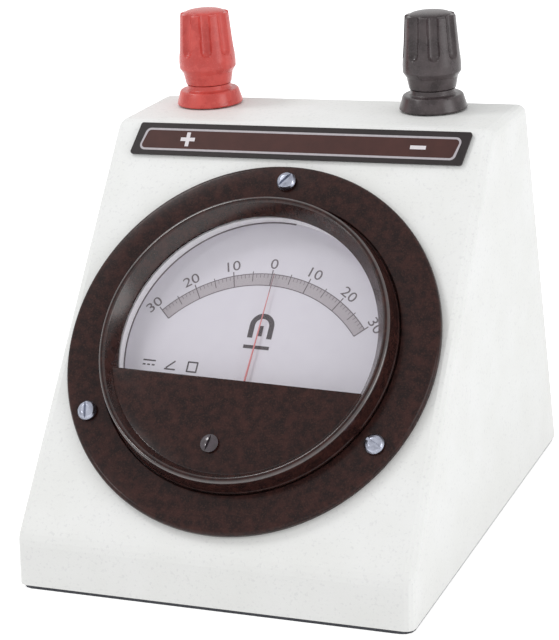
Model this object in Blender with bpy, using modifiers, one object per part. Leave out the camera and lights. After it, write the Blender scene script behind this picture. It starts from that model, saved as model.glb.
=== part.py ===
"""Moving coil galvanometer on a sloping desk case.

World frame: metres, +Z up, origin at the middle of the base's underside. The
sloping panel faces -Y.

Meter frame: origin where the meter's axis meets the face of the panel, x to the
right, y up the slope and z out of the panel. Everything in the meter is drawn
in that frame, so z = 0 is the face of the panel.
"""

import math

import bmesh
import bpy
from mathutils import Matrix, Vector

# Clearances and tolerances
SEAT_GAP = 0.0003
WINDING_GAP = 0.00015
OVERRUN = 0.0010
MERGE_DISTANCE = 0.000001
SHARP_ANGLE = math.radians(35)
FLAT_ANGLE = math.radians(1)

# Facets of round things
LARGE_SEGMENTS = 48
MEDIUM_SEGMENTS = 24
SMALL_SEGMENTS = 16
TINY_SEGMENTS = 12
KNOB_SEGMENTS = 32

# Case
CASE_SIDE_SPACE = 0.0026
CASE_DEPTH = 0.1125
CASE_HEIGHT = 0.0885
CASE_WALL = 0.0025
CASE_EDGE_RADIUS = 0.0020
CASE_EDGE_SEGMENTS = 3
APRON_HEIGHT = 0.0118
APRON_LEAN = 0.0011
TOP_DEPTH = 0.0270

# Base plate, pillars and their screws
BASE_LIP = 0.0006
BASE_STEP = 0.0015
BASE_INSET = 0.0005
BASE_STEP_INSET = 0.0033
BASE_CORNER_RADIUS = 0.0025
PILLAR_RADIUS = 0.0036
PILLAR_BITE = 0.0004
PILLAR_CAP = 0.0030
PILLAR_FRONT_INSET = 0.0095
PILLAR_BACK_INSET = 0.0108
BASE_SCREW_SHANK_RADIUS = 0.00125
BASE_SCREW_HEAD_RADIUS = 0.0026
BASE_SCREW_SINK = 0.0013
BASE_SCREW_LENGTH = 0.0090
BASE_SCREW_RECESS = 0.0002
BASE_SLOT_WIDTH = 0.0006
BASE_SLOT_DEPTH = 0.0005

# Label strip on the panel
LABEL_SIDE_SPACE = 0.00555
LABEL_HEIGHT = 0.0079
LABEL_THICKNESS = 0.0005
LABEL_SLANT = 0.0013
LABEL_CENTRE_X = 0.0006
LABEL_TOP_MARGIN = 0.0011
LABEL_METER_SPACE = 0.0023
LABEL_CORNER_RADIUS = 0.0005

# Place of the meter on the panel
METER_BEND_SPACE = 0.0045
METER_TURN = math.radians(-1.6)
METER_HOLE_CLEARANCE = 0.0006

# Meter housing: flange and barrel, all from the barrel's radius
BARREL_RADIUS = 0.0330
BARREL_WALL = 0.00215
BARREL_DEPTH = 0.0260
BARREL_CHAMFER = 0.0014
HOUSING_FLOOR = 0.0025
FLANGE_THICKNESS = 0.0022
FLANGE_EDGE_RADIUS = 0.0010
SCREW_RING_STEP = 0.00525
SCREW_EDGE_SPACE = 0.00415
COVER_SEAT_STEP = 0.0009
COVER_SEAT_HEIGHT = 0.0011

# Meter cover: lip ring, sloping bezel, window and shield
LIP_HEIGHT = 0.0068
LIP_SHOULDER_RISE = 0.0004
LIP_SHOULDER_STEP = 0.0002
LIP_TAPER = 0.0007
LIP_ROUND = 0.0006
LIP_CREST_WIDTH = 0.0012
WINDOW_INSET = 0.00145
WINDOW_LAND = 0.0004
CHORD_ABOVE_PIVOT = 0.0047
SHIELD_BACK = 0.0031
SHIELD_FRONT = 0.0050
SHIELD_BITE = 0.0016

# Window glass
GLASS_STEP = 0.00095
GLASS_THICKNESS = 0.0014
GLASS_CHORD_OVERLAP = 0.0015

# Meter screws and nuts
METER_SCREW_COUNT = 3
METER_SCREW_SHANK_RADIUS = 0.00125
METER_SCREW_HEAD_RADIUS = 0.0022
METER_SCREW_HEAD_HEIGHT = 0.0015
METER_SCREW_LENGTH = 0.0110
METER_SLOT_WIDTH = 0.0006
METER_SLOT_DEPTH = 0.0006
METER_NUT_ACROSS_FLATS = 0.0050
METER_NUT_THICKNESS = 0.0020
CROWN_SHARE = 0.55
CROWN_EDGE_SHARE = 0.45

# Dial pan
DIAL_FRONT = -0.0010
DIAL_THICKNESS = 0.0008
DIAL_RIM_THICKNESS = 0.0004
DIAL_BELOW_PIVOT = 0.0030
DIAL_NOTCH_HALF_WIDTH = 0.0138
DIAL_NOTCH_RISE = 0.0030
DIAL_PIVOT_HOLE_RADIUS = 0.0043
DIAL_SCREW_EDGE_SPACE = 0.00655
DIAL_SCREW_SHANK_RADIUS = 0.00085
DIAL_SCREW_HEAD_RADIUS = 0.0016
DIAL_SCREW_HEAD_HEIGHT = 0.0008
DIAL_SCREW_LENGTH = 0.0060
DIAL_PILLAR_RADIUS = 0.0022
DIAL_OUTLINE_STEPS = 36
DIAL_HOLE_STEPS = 10

# Movement: axis, yoke ring, core and clamp
YOKE_INNER_RADIUS = 0.0096
YOKE_OUTER_RADIUS = 0.0130
YOKE_WALL_SPACE = 0.00385
YOKE_FRONT = -0.0056
YOKE_LENGTH = 0.0100
CORE_RADIUS = 0.0072
CORE_INSET = 0.0008
CORE_CHAMFER = 0.0003
CLAMP_THICKNESS = 0.0010
CLAMP_WIDTH = 0.0040
CLAMP_CORNER_SHARE = 0.50
BRIDGE_POST_X = 0.0113
MOVEMENT_SCREW_RADIUS = 0.00085
MOVEMENT_SCREW_HEAD_RADIUS = 0.0016
MOVEMENT_SCREW_HEAD_HEIGHT = 0.0008
MOVEMENT_SCREW_HOLE_RADIUS = 0.00115
MOVEMENT_SCREW_BITE = 0.0015
BOSS_RADIUS = 0.0024
BOSS_HEIGHT = 0.0010

# Bridges and jewel screws
FRONT_BRIDGE_FRONT = 0.0018
FRONT_BRIDGE_THICKNESS = 0.0012
BRIDGE_WIDTH = 0.0050
BRIDGE_CORNER_SHARE = 0.60
FRONT_POST_RADIUS = 0.0020
REAR_BRIDGE_THICKNESS = 0.0010
REAR_POST_RADIUS = 0.0018
REAR_POST_LENGTH = 0.0040
JEWEL_SCREW_RADIUS = 0.0012
JEWEL_CLEARANCE = 0.0003
JEWEL_CUP_RADIUS = 0.0006
JEWEL_CUP_DEPTH = 0.0005
JEWEL_SLOT_WIDTH = 0.0004
JEWEL_SLOT_DEPTH = 0.0004
FRONT_JEWEL_TOP = 0.0028
FRONT_JEWEL_BOTTOM = 0
REAR_JEWEL_TOP = -0.0207
REAR_JEWEL_BOTTOM = -0.0232
SPRING_TAB_RADIUS = 0.0049
SPRING_TAB_SIZE = 0.0006

# Moving coil
FORMER_CLEARANCE = 0.00035
FORMER_THICKNESS = 0.0004
FORMER_WIDTH = 0.0030
WINDING_THICKNESS = 0.0009
WINDING_WIDTH = 0.0024
PIVOT_BASE_RADIUS = 0.0010
PIVOT_BASE_THICKNESS = 0.0004
PIVOT_SHAFT_RADIUS = 0.0005
PIVOT_CONE_LENGTH = 0.0009
PIVOT_TIP_RADIUS = 0.00005
FRONT_PIVOT_TIP = 0.00015
REAR_PIVOT_TIP = -0.02090

# Pointer, its balance cross and weights
NEEDLE_TURN = math.radians(-2.0)
POINTER_LENGTH = 0.0316
POINTER_HEIGHT = -0.0001
POINTER_STEM_RADIUS = 0.00026
POINTER_TIP_RADIUS = 0.00010
POINTER_TIP_LENGTH = 0.0045
POINTER_HUB_HEIGHT = -0.0027
POINTER_HUB_THICKNESS = 0.0005
POINTER_HUB_RADIUS = 0.0015
POINTER_CRANK_RADIUS = 0.0038
CROSS_ARM_LENGTH = 0.0042
CROSS_ARM_RADIUS = 0.00022
TAIL_LENGTH = 0.0052
SIDE_WEIGHT_RADIUS = 0.0007
SIDE_WEIGHT_LENGTH = 0.0010
TAIL_WEIGHT_RADIUS = 0.0008
TAIL_WEIGHT_LENGTH = 0.0014
WEIGHT_END_SPACE = 0.0003

# Hairsprings
HAIRSPRING_WIRE_RADIUS = 0.00012
HAIRSPRING_INNER_RADIUS = 0.0014
HAIRSPRING_OUTER_RADIUS = 0.0043
HAIRSPRING_TURNS = 4
HAIRSPRING_STEPS_PER_TURN = 12
FRONT_HAIRSPRING_HEIGHT = -0.0039
REAR_HAIRSPRING_HEIGHT = -0.01965
FRONT_TAB_ANGLE = math.radians(190)
REAR_TAB_ANGLE = math.radians(350)

# Zero lever and zero adjuster
ADJUSTER_REACH = 0.0101
ADJUSTER_LEAN = math.radians(-10)
ADJUSTER_PIN_OFFSET = 0.0009
ADJUSTER_PIN_RADIUS = 0.0004
ADJUSTER_PIN_END = -0.0004
ADJUSTER_HEAD_RADIUS = 0.0020
ADJUSTER_HEAD_HEIGHT = 0.0009
ADJUSTER_HEAD_ROUND = 0.0004
ADJUSTER_SHAFT_RADIUS = 0.0014
ADJUSTER_FLANGE_RADIUS = 0.0024
ADJUSTER_FLANGE_THICKNESS = 0.0010
ADJUSTER_SLOT_WIDTH = 0.0006
ADJUSTER_SLOT_DEPTH = 0.0005
LEVER_THICKNESS = 0.0003
LEVER_RING_RADIUS = 0.0030
LEVER_ARM_WIDTH = 0.0032
LEVER_END_SPACE = 0.0005
LEVER_FORK_DEPTH = 0.0024
LEVER_SIDE_ARM_WIDTH = 0.0010

# Meter studs, nuts and tags
METER_STUD_X = 0.0150
METER_STUD_Y = 0.0090
METER_STUD_RADIUS = 0.0020
METER_STUD_HEAD_RADIUS = 0.0035
METER_STUD_HEAD_THICKNESS = 0.0015
METER_STUD_REACH = 0.0110
STUD_NUT_ACROSS_FLATS = 0.0070
STUD_NUT_THICKNESS = 0.0030
TAG_THICKNESS = 0.0005
TAG_RING_RADIUS = 0.0042
TAG_TONGUE_WIDTH = 0.0026
TAG_LENGTH = 0.0090
TAG_EYE_RADIUS = 0.0006
TAG_EYE_INSET = 0.0018

# Terminals
POST_BACK_INSET = 0.0090
RED_POST_INSET = 0.0155
BLACK_POST_INSET = 0.0194
POST_RADIUS = 0.0020
POST_TOP = 0.0176
POST_BOTTOM = -0.0120
POST_CHAMFER = 0.0004
POST_SHOULDER_RADIUS = 0.0032
POST_SHOULDER_THICKNESS = 0.0008
POST_HOLE_RADIUS = 0.0008
POST_HOLE_HEIGHT = 0.0074
COLLAR_RADIUS = 0.0078
COLLAR_SHOULDER_RADIUS = 0.0068
COLLAR_SHOULDER_HEIGHT = 0.0037
COLLAR_NECK_RADIUS = 0.0050
COLLAR_HEIGHT = 0.0048
COLLAR_EDGE = 0.0004
SPIGOT_RADIUS = 0.0031
SPIGOT_LENGTH = 0.0021

# Knobs and their inserts
KNOB_SKIRT_RADIUS = 0.0052
KNOB_WAIST_RADIUS = 0.0058
KNOB_WAIST_HEIGHT = 0.0077
KNOB_BAND_RADIUS = 0.0066
KNOB_BAND_BOTTOM = 0.0089
KNOB_BAND_TOP = 0.0106
KNOB_TOP_RADIUS = 0.00575
KNOB_TOP_HEIGHT = 0.0216
KNOB_EDGE = 0.0004
KNOB_DOME_RADIUS = 0.0047
KNOB_DOME_RISE = 0.0009
KNOB_DOME_STEPS = 3
KNOB_BORE_TOP = 0.0184
KNOB_FLUTES = 8
FLUTE_RADIUS = 0.0015
FLUTE_DEPTH = 0.00105
FLUTE_BOTTOM = 0.0119
INSERT_WALL = 0.0013
INSERT_LENGTH = 0.0070

# Leads inside the case
LEAD_RADIUS = 0.0007
LEAD_STRAIGHT = 0.0060
LEAD_BOW = 0.0060
LEAD_STEPS = 6

# The meter's radii, worked out from the barrel
BARREL_INNER_RADIUS = BARREL_RADIUS - BARREL_WALL
METER_SCREW_PITCH_RADIUS = BARREL_RADIUS + SCREW_RING_STEP
FLANGE_RADIUS = METER_SCREW_PITCH_RADIUS + SCREW_EDGE_SPACE
METER_UP_SLOPE = METER_BEND_SPACE + FLANGE_RADIUS
COVER_SEAT_RADIUS = BARREL_RADIUS + COVER_SEAT_STEP
GLASS_RADIUS = BARREL_INNER_RADIUS + GLASS_STEP
WINDOW_RADIUS = BARREL_INNER_RADIUS - WINDOW_INSET
DIAL_RADIUS = BARREL_INNER_RADIUS - SEAT_GAP
PIVOT_Y = YOKE_OUTER_RADIUS + YOKE_WALL_SPACE - BARREL_INNER_RADIUS
WINDOW_CHORD_Y = PIVOT_Y + CHORD_ABOVE_PIVOT
DIAL_BOTTOM_Y = PIVOT_Y - DIAL_BELOW_PIVOT
DIAL_NOTCH_TOP_Y = PIVOT_Y + DIAL_NOTCH_RISE
DIAL_SCREW_Y = PIVOT_Y
DIAL_SCREW_X = math.sqrt((DIAL_RADIUS - DIAL_SCREW_EDGE_SPACE) ** 2 - DIAL_SCREW_Y ** 2)

# The case round them
CASE_WIDTH = 2 * (FLANGE_RADIUS + CASE_SIDE_SPACE)
PANEL_RISE = CASE_HEIGHT - APRON_HEIGHT
PANEL_LENGTH = METER_UP_SLOPE + FLANGE_RADIUS + LABEL_METER_SPACE + LABEL_HEIGHT + LABEL_TOP_MARGIN
PANEL_RUN = math.sqrt(PANEL_LENGTH ** 2 - PANEL_RISE ** 2)
LABEL_WIDTH = CASE_WIDTH - 2 * LABEL_SIDE_SPACE
BASE_TOP = BASE_LIP + BASE_STEP

# Places worked out from the sizes above
FRONT_Y = -CASE_DEPTH / 2
BACK_Y = CASE_DEPTH / 2
CASE_BOTTOM = BASE_LIP + SEAT_GAP
PILLAR_BOTTOM = BASE_TOP + SEAT_GAP
BEND = Vector((0, FRONT_Y + APRON_LEAN, APRON_HEIGHT))
TOP_FRONT = Vector((0, BEND.y + PANEL_RUN, CASE_HEIGHT))
TOP_BACK = Vector((0, TOP_FRONT.y + TOP_DEPTH, CASE_HEIGHT))
POST_Y = TOP_BACK.y - POST_BACK_INSET
RED_POST_X = RED_POST_INSET - CASE_WIDTH / 2
BLACK_POST_X = CASE_WIDTH / 2 - BLACK_POST_INSET
RIGHT = Vector((1, 0, 0))
PANEL_UP = (TOP_FRONT - BEND).normalized()
PANEL_OUT = RIGHT.cross(PANEL_UP)

POST_HOLE_IN_CASE = SPIGOT_RADIUS + SEAT_GAP
METER_SCREW_HOLE_RADIUS = METER_SCREW_SHANK_RADIUS + SEAT_GAP
BASE_SCREW_HOLE_RADIUS = BASE_SCREW_SHANK_RADIUS + SEAT_GAP
PILLAR_DRILL_TOP = BASE_SCREW_RECESS + BASE_SCREW_LENGTH + SEAT_GAP
PILLAR_TOP = PILLAR_DRILL_TOP + PILLAR_CAP
STUD_HOLE_RADIUS = METER_STUD_RADIUS + SEAT_GAP

HOUSING_BACK = -BARREL_DEPTH
HOUSING_FLOOR_FACE = HOUSING_BACK + HOUSING_FLOOR
COVER_RADIUS = COVER_SEAT_RADIUS - SEAT_GAP
COVER_BACK = COVER_SEAT_HEIGHT + SEAT_GAP
LIP_SHOULDER_HEIGHT = FLANGE_THICKNESS + LIP_SHOULDER_RISE
GLASS_BACK = COVER_SEAT_HEIGHT + SEAT_GAP
GLASS_FRONT = GLASS_BACK + GLASS_THICKNESS
DIAL_BACK = DIAL_FRONT - DIAL_THICKNESS
DIAL_RIM_TOP = COVER_SEAT_HEIGHT

YOKE_BACK = YOKE_FRONT - YOKE_LENGTH
CORE_FRONT = YOKE_FRONT - CORE_INSET
CORE_BACK = YOKE_BACK
CLAMP_FRONT = YOKE_BACK - SEAT_GAP
CLAMP_BACK = CLAMP_FRONT - CLAMP_THICKNESS
FRONT_BRIDGE_BACK = FRONT_BRIDGE_FRONT - FRONT_BRIDGE_THICKNESS
REAR_POST_FRONT = CLAMP_BACK - SEAT_GAP
REAR_BRIDGE_FRONT = REAR_POST_FRONT - REAR_POST_LENGTH
REAR_BRIDGE_BACK = REAR_BRIDGE_FRONT - REAR_BRIDGE_THICKNESS

FORMER_IN_FRONT = CORE_FRONT + SEAT_GAP
FORMER_IN_BACK = CLAMP_BACK - SEAT_GAP
FORMER_IN_SIDE = CORE_RADIUS + FORMER_CLEARANCE
WINDING_FRONT = FORMER_IN_FRONT + FORMER_THICKNESS + WINDING_GAP + WINDING_THICKNESS
WINDING_BACK = FORMER_IN_BACK - FORMER_THICKNESS - WINDING_GAP - WINDING_THICKNESS

LEVER_FRONT = FRONT_BRIDGE_BACK - SEAT_GAP
LEVER_BACK = LEVER_FRONT - LEVER_THICKNESS
LEVER_ARM_END = ADJUSTER_REACH + LEVER_END_SPACE
ADJUSTER_X = ADJUSTER_REACH * math.sin(ADJUSTER_LEAN)
ADJUSTER_Y = PIVOT_Y - ADJUSTER_REACH * math.cos(ADJUSTER_LEAN)


# The model's scene
for leftover in list(bpy.data.objects):
    bpy.data.objects.remove(leftover)

parts = bpy.data.collections.new("moving_coil_galvanometer")
bpy.context.scene.collection.children.link(parts)
cutters = bpy.data.collections.new("cutters")
cutters.hide_render = True
bpy.context.scene.collection.children.link(cutters)

# Finishes: colour, roughness and metallic value
FINISHES = {
    "case_white": ((0.80, 0.80, 0.77), 0.55, 0.0),
    "black_board": ((0.03, 0.03, 0.03), 0.75, 0.0),
    "label_brown": ((0.045, 0.028, 0.026), 0.35, 0.0),
    "phenolic": ((0.048, 0.030, 0.027), 0.22, 0.0),
    "window_glass": ((0.85, 0.88, 0.88), 0.05, 0.0),
    "dial_grey": ((0.62, 0.60, 0.66), 0.60, 0.0),
    "bright_zinc": ((0.75, 0.77, 0.80), 0.28, 1.0),
    "soft_iron": ((0.35, 0.35, 0.36), 0.45, 1.0),
    "magnet_alloy": ((0.42, 0.41, 0.40), 0.50, 1.0),
    "brass": ((0.78, 0.58, 0.25), 0.30, 1.0),
    "aluminium": ((0.80, 0.81, 0.82), 0.35, 1.0),
    "copper_winding": ((0.60, 0.25, 0.12), 0.40, 1.0),
    "steel": ((0.55, 0.55, 0.56), 0.25, 1.0),
    "phosphor_bronze": ((0.70, 0.45, 0.25), 0.35, 1.0),
    "pointer_red": ((0.60, 0.12, 0.10), 0.50, 0.0),
    "red_plastic": ((0.60, 0.085, 0.075), 0.35, 0.0),
    "black_plastic": ((0.07, 0.06, 0.065), 0.38, 0.0),
    "red_sleeve": ((0.55, 0.05, 0.04), 0.50, 0.0),
    "black_sleeve": ((0.03, 0.03, 0.03), 0.50, 0.0),
}


def finish_for(name, finish):
    """The piece's own material, of the colour, roughness and metal of a finish."""
    colour, roughness, metallic = FINISHES[finish]
    material = bpy.data.materials.new(name + "_" + finish)
    material.use_nodes = True
    shader = material.node_tree.nodes["Principled BSDF"]
    shader.inputs["Base Color"].default_value = (*colour, 1)
    shader.inputs["Roughness"].default_value = roughness
    shader.inputs["Metallic"].default_value = metallic
    return material


def axis(name, parent, place=(0, 0, 0), turn=0):
    """An empty that marks a frame or a joint's axis, turned about its own z."""
    empty = bpy.data.objects.new(name, None)
    parts.objects.link(empty)
    empty.parent = parent
    empty.location = place
    empty.rotation_euler = (0, 0, turn)
    return empty


def piece(name, mesh, finish, parent=None, place=(0, 0, 0)):
    """One sub-part: a named object with its own material."""
    mesh.name = name
    mesh.shade_smooth()
    mesh.set_sharp_from_angle(angle=SHARP_ANGLE)
    mesh.materials.clear()
    mesh.materials.append(finish_for(name, finish))
    made = bpy.data.objects.new(name, mesh)
    parts.objects.link(made)
    made.parent = parent
    made.location = place
    return made


def cutter(name, mesh, parent=None, place=(0, 0, 0)):
    """A shape that only cuts or joins, kept out of the model."""
    tool = bpy.data.objects.new(name, mesh)
    cutters.objects.link(tool)
    tool.parent = parent
    tool.location = place
    tool.hide_render = True
    tool.display_type = "WIRE"
    return tool


def apply_tool(target, tool, operation):
    """Booleans stay live on the piece, with the exact solver."""
    boolean = target.modifiers.new(tool.name, "BOOLEAN")
    boolean.object = tool
    boolean.operation = operation
    boolean.solver = "EXACT"


def evaluated_mesh(made):
    """A plain mesh of the object as its modifiers leave it."""
    graph = bpy.context.evaluated_depsgraph_get()
    return bpy.data.meshes.new_from_object(made.evaluated_get(graph))


def welded(mesh):
    """Closes the loose seams of a mesh and turns its faces outwards."""
    shape = bmesh.new()
    shape.from_mesh(mesh)
    bmesh.ops.remove_doubles(shape, verts=shape.verts, dist=MERGE_DISTANCE)
    bmesh.ops.recalc_face_normals(shape, faces=shape.faces)
    shape.to_mesh(mesh)
    shape.free()
    return mesh


def joined(meshes):
    """Several meshes as one; their shapes stay separate until a Boolean."""
    shape = bmesh.new()
    for mesh in meshes:
        shape.from_mesh(mesh)
    made = bpy.data.meshes.new("joined")
    shape.to_mesh(made)
    shape.free()
    return made


def cylinder(radius, bottom, top, segments=SMALL_SEGMENTS, centre=(0, 0), top_radius=None, matrix=Matrix()):
    """An upright cylinder or cone between two heights."""
    shape = bmesh.new()
    middle = Matrix.Translation((centre[0], centre[1], (bottom + top) / 2))
    bmesh.ops.create_cone(
        shape,
        cap_ends=True,
        segments=segments,
        radius1=radius,
        radius2=radius if top_radius is None else top_radius,
        depth=top - bottom,
        matrix=matrix @ middle,
    )
    made = bpy.data.meshes.new("cylinder")
    shape.to_mesh(made)
    shape.free()
    return made


def box(low, high, matrix=Matrix()):
    """A box between two corners."""
    low = Vector(low)
    high = Vector(high)
    size = Matrix.Diagonal((*(high - low), 1))
    shape = bmesh.new()
    bmesh.ops.create_cube(shape, size=1, matrix=matrix @ Matrix.Translation((low + high) / 2) @ size)
    made = bpy.data.meshes.new("box")
    shape.to_mesh(made)
    shape.free()
    return made


def turned(profile, segments=MEDIUM_SEGMENTS, ring=False):
    """A profile of (radius, height) points turned about z; its outer side runs down."""
    count = len(profile)
    edges = [(index, index + 1) for index in range(count - 1)]
    if ring:
        edges.append((count - 1, 0))
    mesh = bpy.data.meshes.new("profile")
    mesh.from_pydata([(radius, 0, height) for radius, height in profile], edges, [])
    blank = bpy.data.objects.new("profile", mesh)
    cutters.objects.link(blank)
    screw = blank.modifiers.new("turn", "SCREW")
    screw.axis = "Z"
    screw.steps = segments
    screw.render_steps = segments
    screw.use_merge_vertices = True
    screw.merge_threshold = MERGE_DISTANCE
    made = evaluated_mesh(blank)
    bpy.data.objects.remove(blank)
    return made


def mesh_of_curve(curve, matrix=Matrix()):
    """A curve as a closed mesh, its caps welded on."""
    blank = bpy.data.objects.new("curve", curve)
    cutters.objects.link(blank)
    made = evaluated_mesh(blank)
    bpy.data.objects.remove(blank)
    made.transform(matrix)
    return welded(made)


def flat(outlines, bottom, top, matrix=Matrix()):
    """A flat plate with one outer outline and any holes, between two heights."""
    curve = bpy.data.curves.new("outline", "CURVE")
    curve.dimensions = "2D"
    curve.fill_mode = "BOTH"
    curve.extrude = (top - bottom) / 2
    for outline in outlines:
        spline = curve.splines.new("POLY")
        spline.points.add(len(outline) - 1)
        for point, (x, y) in zip(spline.points, outline):
            point.co = (x, y, 0, 1)
        spline.use_cyclic_u = True
    return mesh_of_curve(curve, matrix @ Matrix.Translation((0, 0, (bottom + top) / 2)))


def tube(route, radius, radii=None, resolution=1, cyclic=False):
    """A round wire along a route of points, with filled ends."""
    curve = bpy.data.curves.new("route", "CURVE")
    curve.dimensions = "3D"
    curve.bevel_depth = radius
    curve.bevel_resolution = resolution
    curve.use_fill_caps = not cyclic
    spline = curve.splines.new("POLY")
    spline.points.add(len(route) - 1)
    for index, place in enumerate(route):
        spline.points[index].co = (*place, 1)
        if radii is not None:
            spline.points[index].radius = radii[index] / radius
    return mesh_of_curve(curve)


def arc(centre, radius, start, end, steps):
    """Points on an arc, angles in degrees."""
    points = []
    for index in range(steps + 1):
        angle = math.radians(start + (end - start) * index / steps)
        points.append((centre[0] + radius * math.cos(angle), centre[1] + radius * math.sin(angle)))
    return points


def circle(radius, centre=(0, 0), segments=SMALL_SEGMENTS):
    return arc(centre, radius, 0, 360, segments)[:-1]


def hexagon(across_flats):
    return arc((0, 0), across_flats / math.sqrt(3), 0, 360, 6)[:-1]


def rounded(corners, radius, steps=3):
    """An outline whose corners are rounded to one radius, listed anticlockwise."""
    points = []
    count = len(corners)
    for index in range(count):
        corner = Vector(corners[index])
        before = (Vector(corners[index - 1]) - corner).normalized()
        after = (Vector(corners[(index + 1) % count]) - corner).normalized()
        half = before.angle(after) / 2
        centre = corner + (before + after).normalized() * radius / math.sin(half)
        start = centre + (corner + before * radius / math.tan(half) - centre)
        turn = (math.pi - 2 * half) / steps
        spoke = start - centre
        for step in range(steps + 1):
            points.append(tuple(centre + Matrix.Rotation(turn * step, 2) @ spoke))
    return points


def offset_outline(points, distances):
    """A convex anticlockwise outline with each side moved inwards by its own distance."""
    lines = []
    count = len(points)
    for index in range(count):
        start = Vector(points[index])
        along = (Vector(points[(index + 1) % count]) - start).normalized()
        inward = Vector((-along.y, along.x))
        lines.append((start + inward * distances[index], along))
    moved = []
    for index in range(count):
        place, along = lines[index - 1]
        other_place, other_along = lines[index]
        reach = (other_place - place).cross(other_along) / along.cross(other_along)
        moved.append(tuple(place + along * reach))
    return moved


def smooth_route(points, steps):
    """A smooth curve through the points of a route, each pair joined in a few steps."""
    places = [Vector(point) for point in points]
    places = [2 * places[0] - places[1], *places, 2 * places[-1] - places[-2]]
    route = []
    for index in range(1, len(places) - 2):
        before, start, end, after = places[index - 1:index + 3]
        for step in range(steps):
            share = step / steps
            straight = start * 2
            slope = (end - before) * share
            bend = (before * 2 - start * 5 + end * 4 - after) * share ** 2
            twist = (start * 3 - before - end * 3 + after) * share ** 3
            route.append((straight + slope + bend + twist) / 2)
    route.append(places[-2])
    return route


# Frames of the panel, the meter and the joints
panel_frame = axis("panel_frame", None, BEND + PANEL_UP * METER_UP_SLOPE)
panel_frame.rotation_euler = Matrix((RIGHT, PANEL_UP, PANEL_OUT)).transposed().to_euler()
meter_frame = axis("meter_frame", panel_frame, turn=METER_TURN)
pointer_axis = axis("pointer_axis", meter_frame, (0, PIVOT_Y, 0), NEEDLE_TURN)
lever_axis = axis("zero_lever_axis", meter_frame, (0, PIVOT_Y, 0), ADJUSTER_LEAN)
adjuster_axis = axis("zero_adjuster_axis", meter_frame, (ADJUSTER_X, ADJUSTER_Y, 0), ADJUSTER_LEAN)
red_axis = axis("red_terminal_axis", None, (RED_POST_X, POST_Y, CASE_HEIGHT))
black_axis = axis("black_terminal_axis", None, (BLACK_POST_X, POST_Y, CASE_HEIGHT))


# Case: a moulded shell, open below
SIDEWAYS = Matrix(((0, 0, 1, 0), (1, 0, 0, 0), (0, 1, 0, 0), (0, 0, 0, 1)))


def case_outline():
    """The side view as (y, z) points, anticlockwise from the front foot."""
    return [
        (FRONT_Y, CASE_BOTTOM),
        (BACK_Y, CASE_BOTTOM),
        (TOP_BACK.y, TOP_BACK.z),
        (TOP_FRONT.y, TOP_FRONT.z),
        (BEND.y, BEND.z),
    ]


def soften_case_edges(mesh):
    """Marks every edge but those of the open bottom for rounding."""
    shape = bmesh.new()
    shape.from_mesh(mesh)
    bmesh.ops.dissolve_limit(shape, angle_limit=FLAT_ANGLE, verts=shape.verts, edges=shape.edges)
    weights = shape.edges.layers.float.new("bevel_weight_edge")
    for edge in shape.edges:
        highest = max(vertex.co.z for vertex in edge.verts)
        edge[weights] = 0 if highest < CASE_BOTTOM + MERGE_DISTANCE else 1
    shape.to_mesh(mesh)
    shape.free()


def pillar_places():
    side = CASE_WIDTH / 2 - CASE_WALL - PILLAR_RADIUS + PILLAR_BITE
    for x in (-side, side):
        yield x, FRONT_Y + PILLAR_FRONT_INSET
        yield x, BACK_Y - PILLAR_BACK_INSET


def meter_screw_places():
    for index in range(METER_SCREW_COUNT):
        angle = math.radians(90 + 360 * index / METER_SCREW_COUNT)
        yield METER_SCREW_PITCH_RADIUS * math.cos(angle), METER_SCREW_PITCH_RADIUS * math.sin(angle)


def make_case():
    outer = flat([case_outline()], -CASE_WIDTH / 2, CASE_WIDTH / 2, SIDEWAYS)
    soften_case_edges(outer)
    shell = piece("case_shell", outer, "case_white")
    bevel = shell.modifiers.new("soft_edges", "BEVEL")
    bevel.limit_method = "WEIGHT"
    bevel.width = CASE_EDGE_RADIUS
    bevel.segments = CASE_EDGE_SEGMENTS

    walls = [-OVERRUN, CASE_WALL, CASE_WALL, CASE_WALL, CASE_WALL]
    inner_half = CASE_WIDTH / 2 - CASE_WALL
    hollow = flat([offset_outline(case_outline(), walls)], -inner_half, inner_half, SIDEWAYS)
    apply_tool(shell, cutter("case_hollow", hollow), "DIFFERENCE")

    pillars = [cylinder(PILLAR_RADIUS, PILLAR_BOTTOM, PILLAR_TOP, centre=place) for place in pillar_places()]
    apply_tool(shell, cutter("case_pillars", joined(pillars)), "UNION")

    drills = [
        cylinder(BASE_SCREW_HOLE_RADIUS, PILLAR_BOTTOM - OVERRUN, PILLAR_DRILL_TOP, TINY_SEGMENTS, place)
        for place in pillar_places()
    ]
    apply_tool(shell, cutter("pillar_drills", joined(drills)), "DIFFERENCE")

    hole_radius = BARREL_RADIUS + METER_HOLE_CLEARANCE
    holes = [cylinder(hole_radius, -CASE_WALL - OVERRUN, OVERRUN, LARGE_SEGMENTS)]
    for place in meter_screw_places():
        holes.append(cylinder(METER_SCREW_HOLE_RADIUS, -CASE_WALL - OVERRUN, OVERRUN, TINY_SEGMENTS, place))
    apply_tool(shell, cutter("panel_holes", joined(holes), meter_frame), "DIFFERENCE")

    low = CASE_HEIGHT - CASE_WALL - OVERRUN
    high = CASE_HEIGHT + OVERRUN
    tops = [cylinder(POST_HOLE_IN_CASE, low, high, centre=(x, POST_Y)) for x in (RED_POST_X, BLACK_POST_X)]
    apply_tool(shell, cutter("terminal_holes", joined(tops)), "DIFFERENCE")


make_case()


def base_outline(inset):
    x = CASE_WIDTH / 2 - inset
    y = CASE_DEPTH / 2 - inset
    return rounded([(-x, -y), (x, -y), (x, y), (-x, y)], BASE_CORNER_RADIUS)


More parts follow.
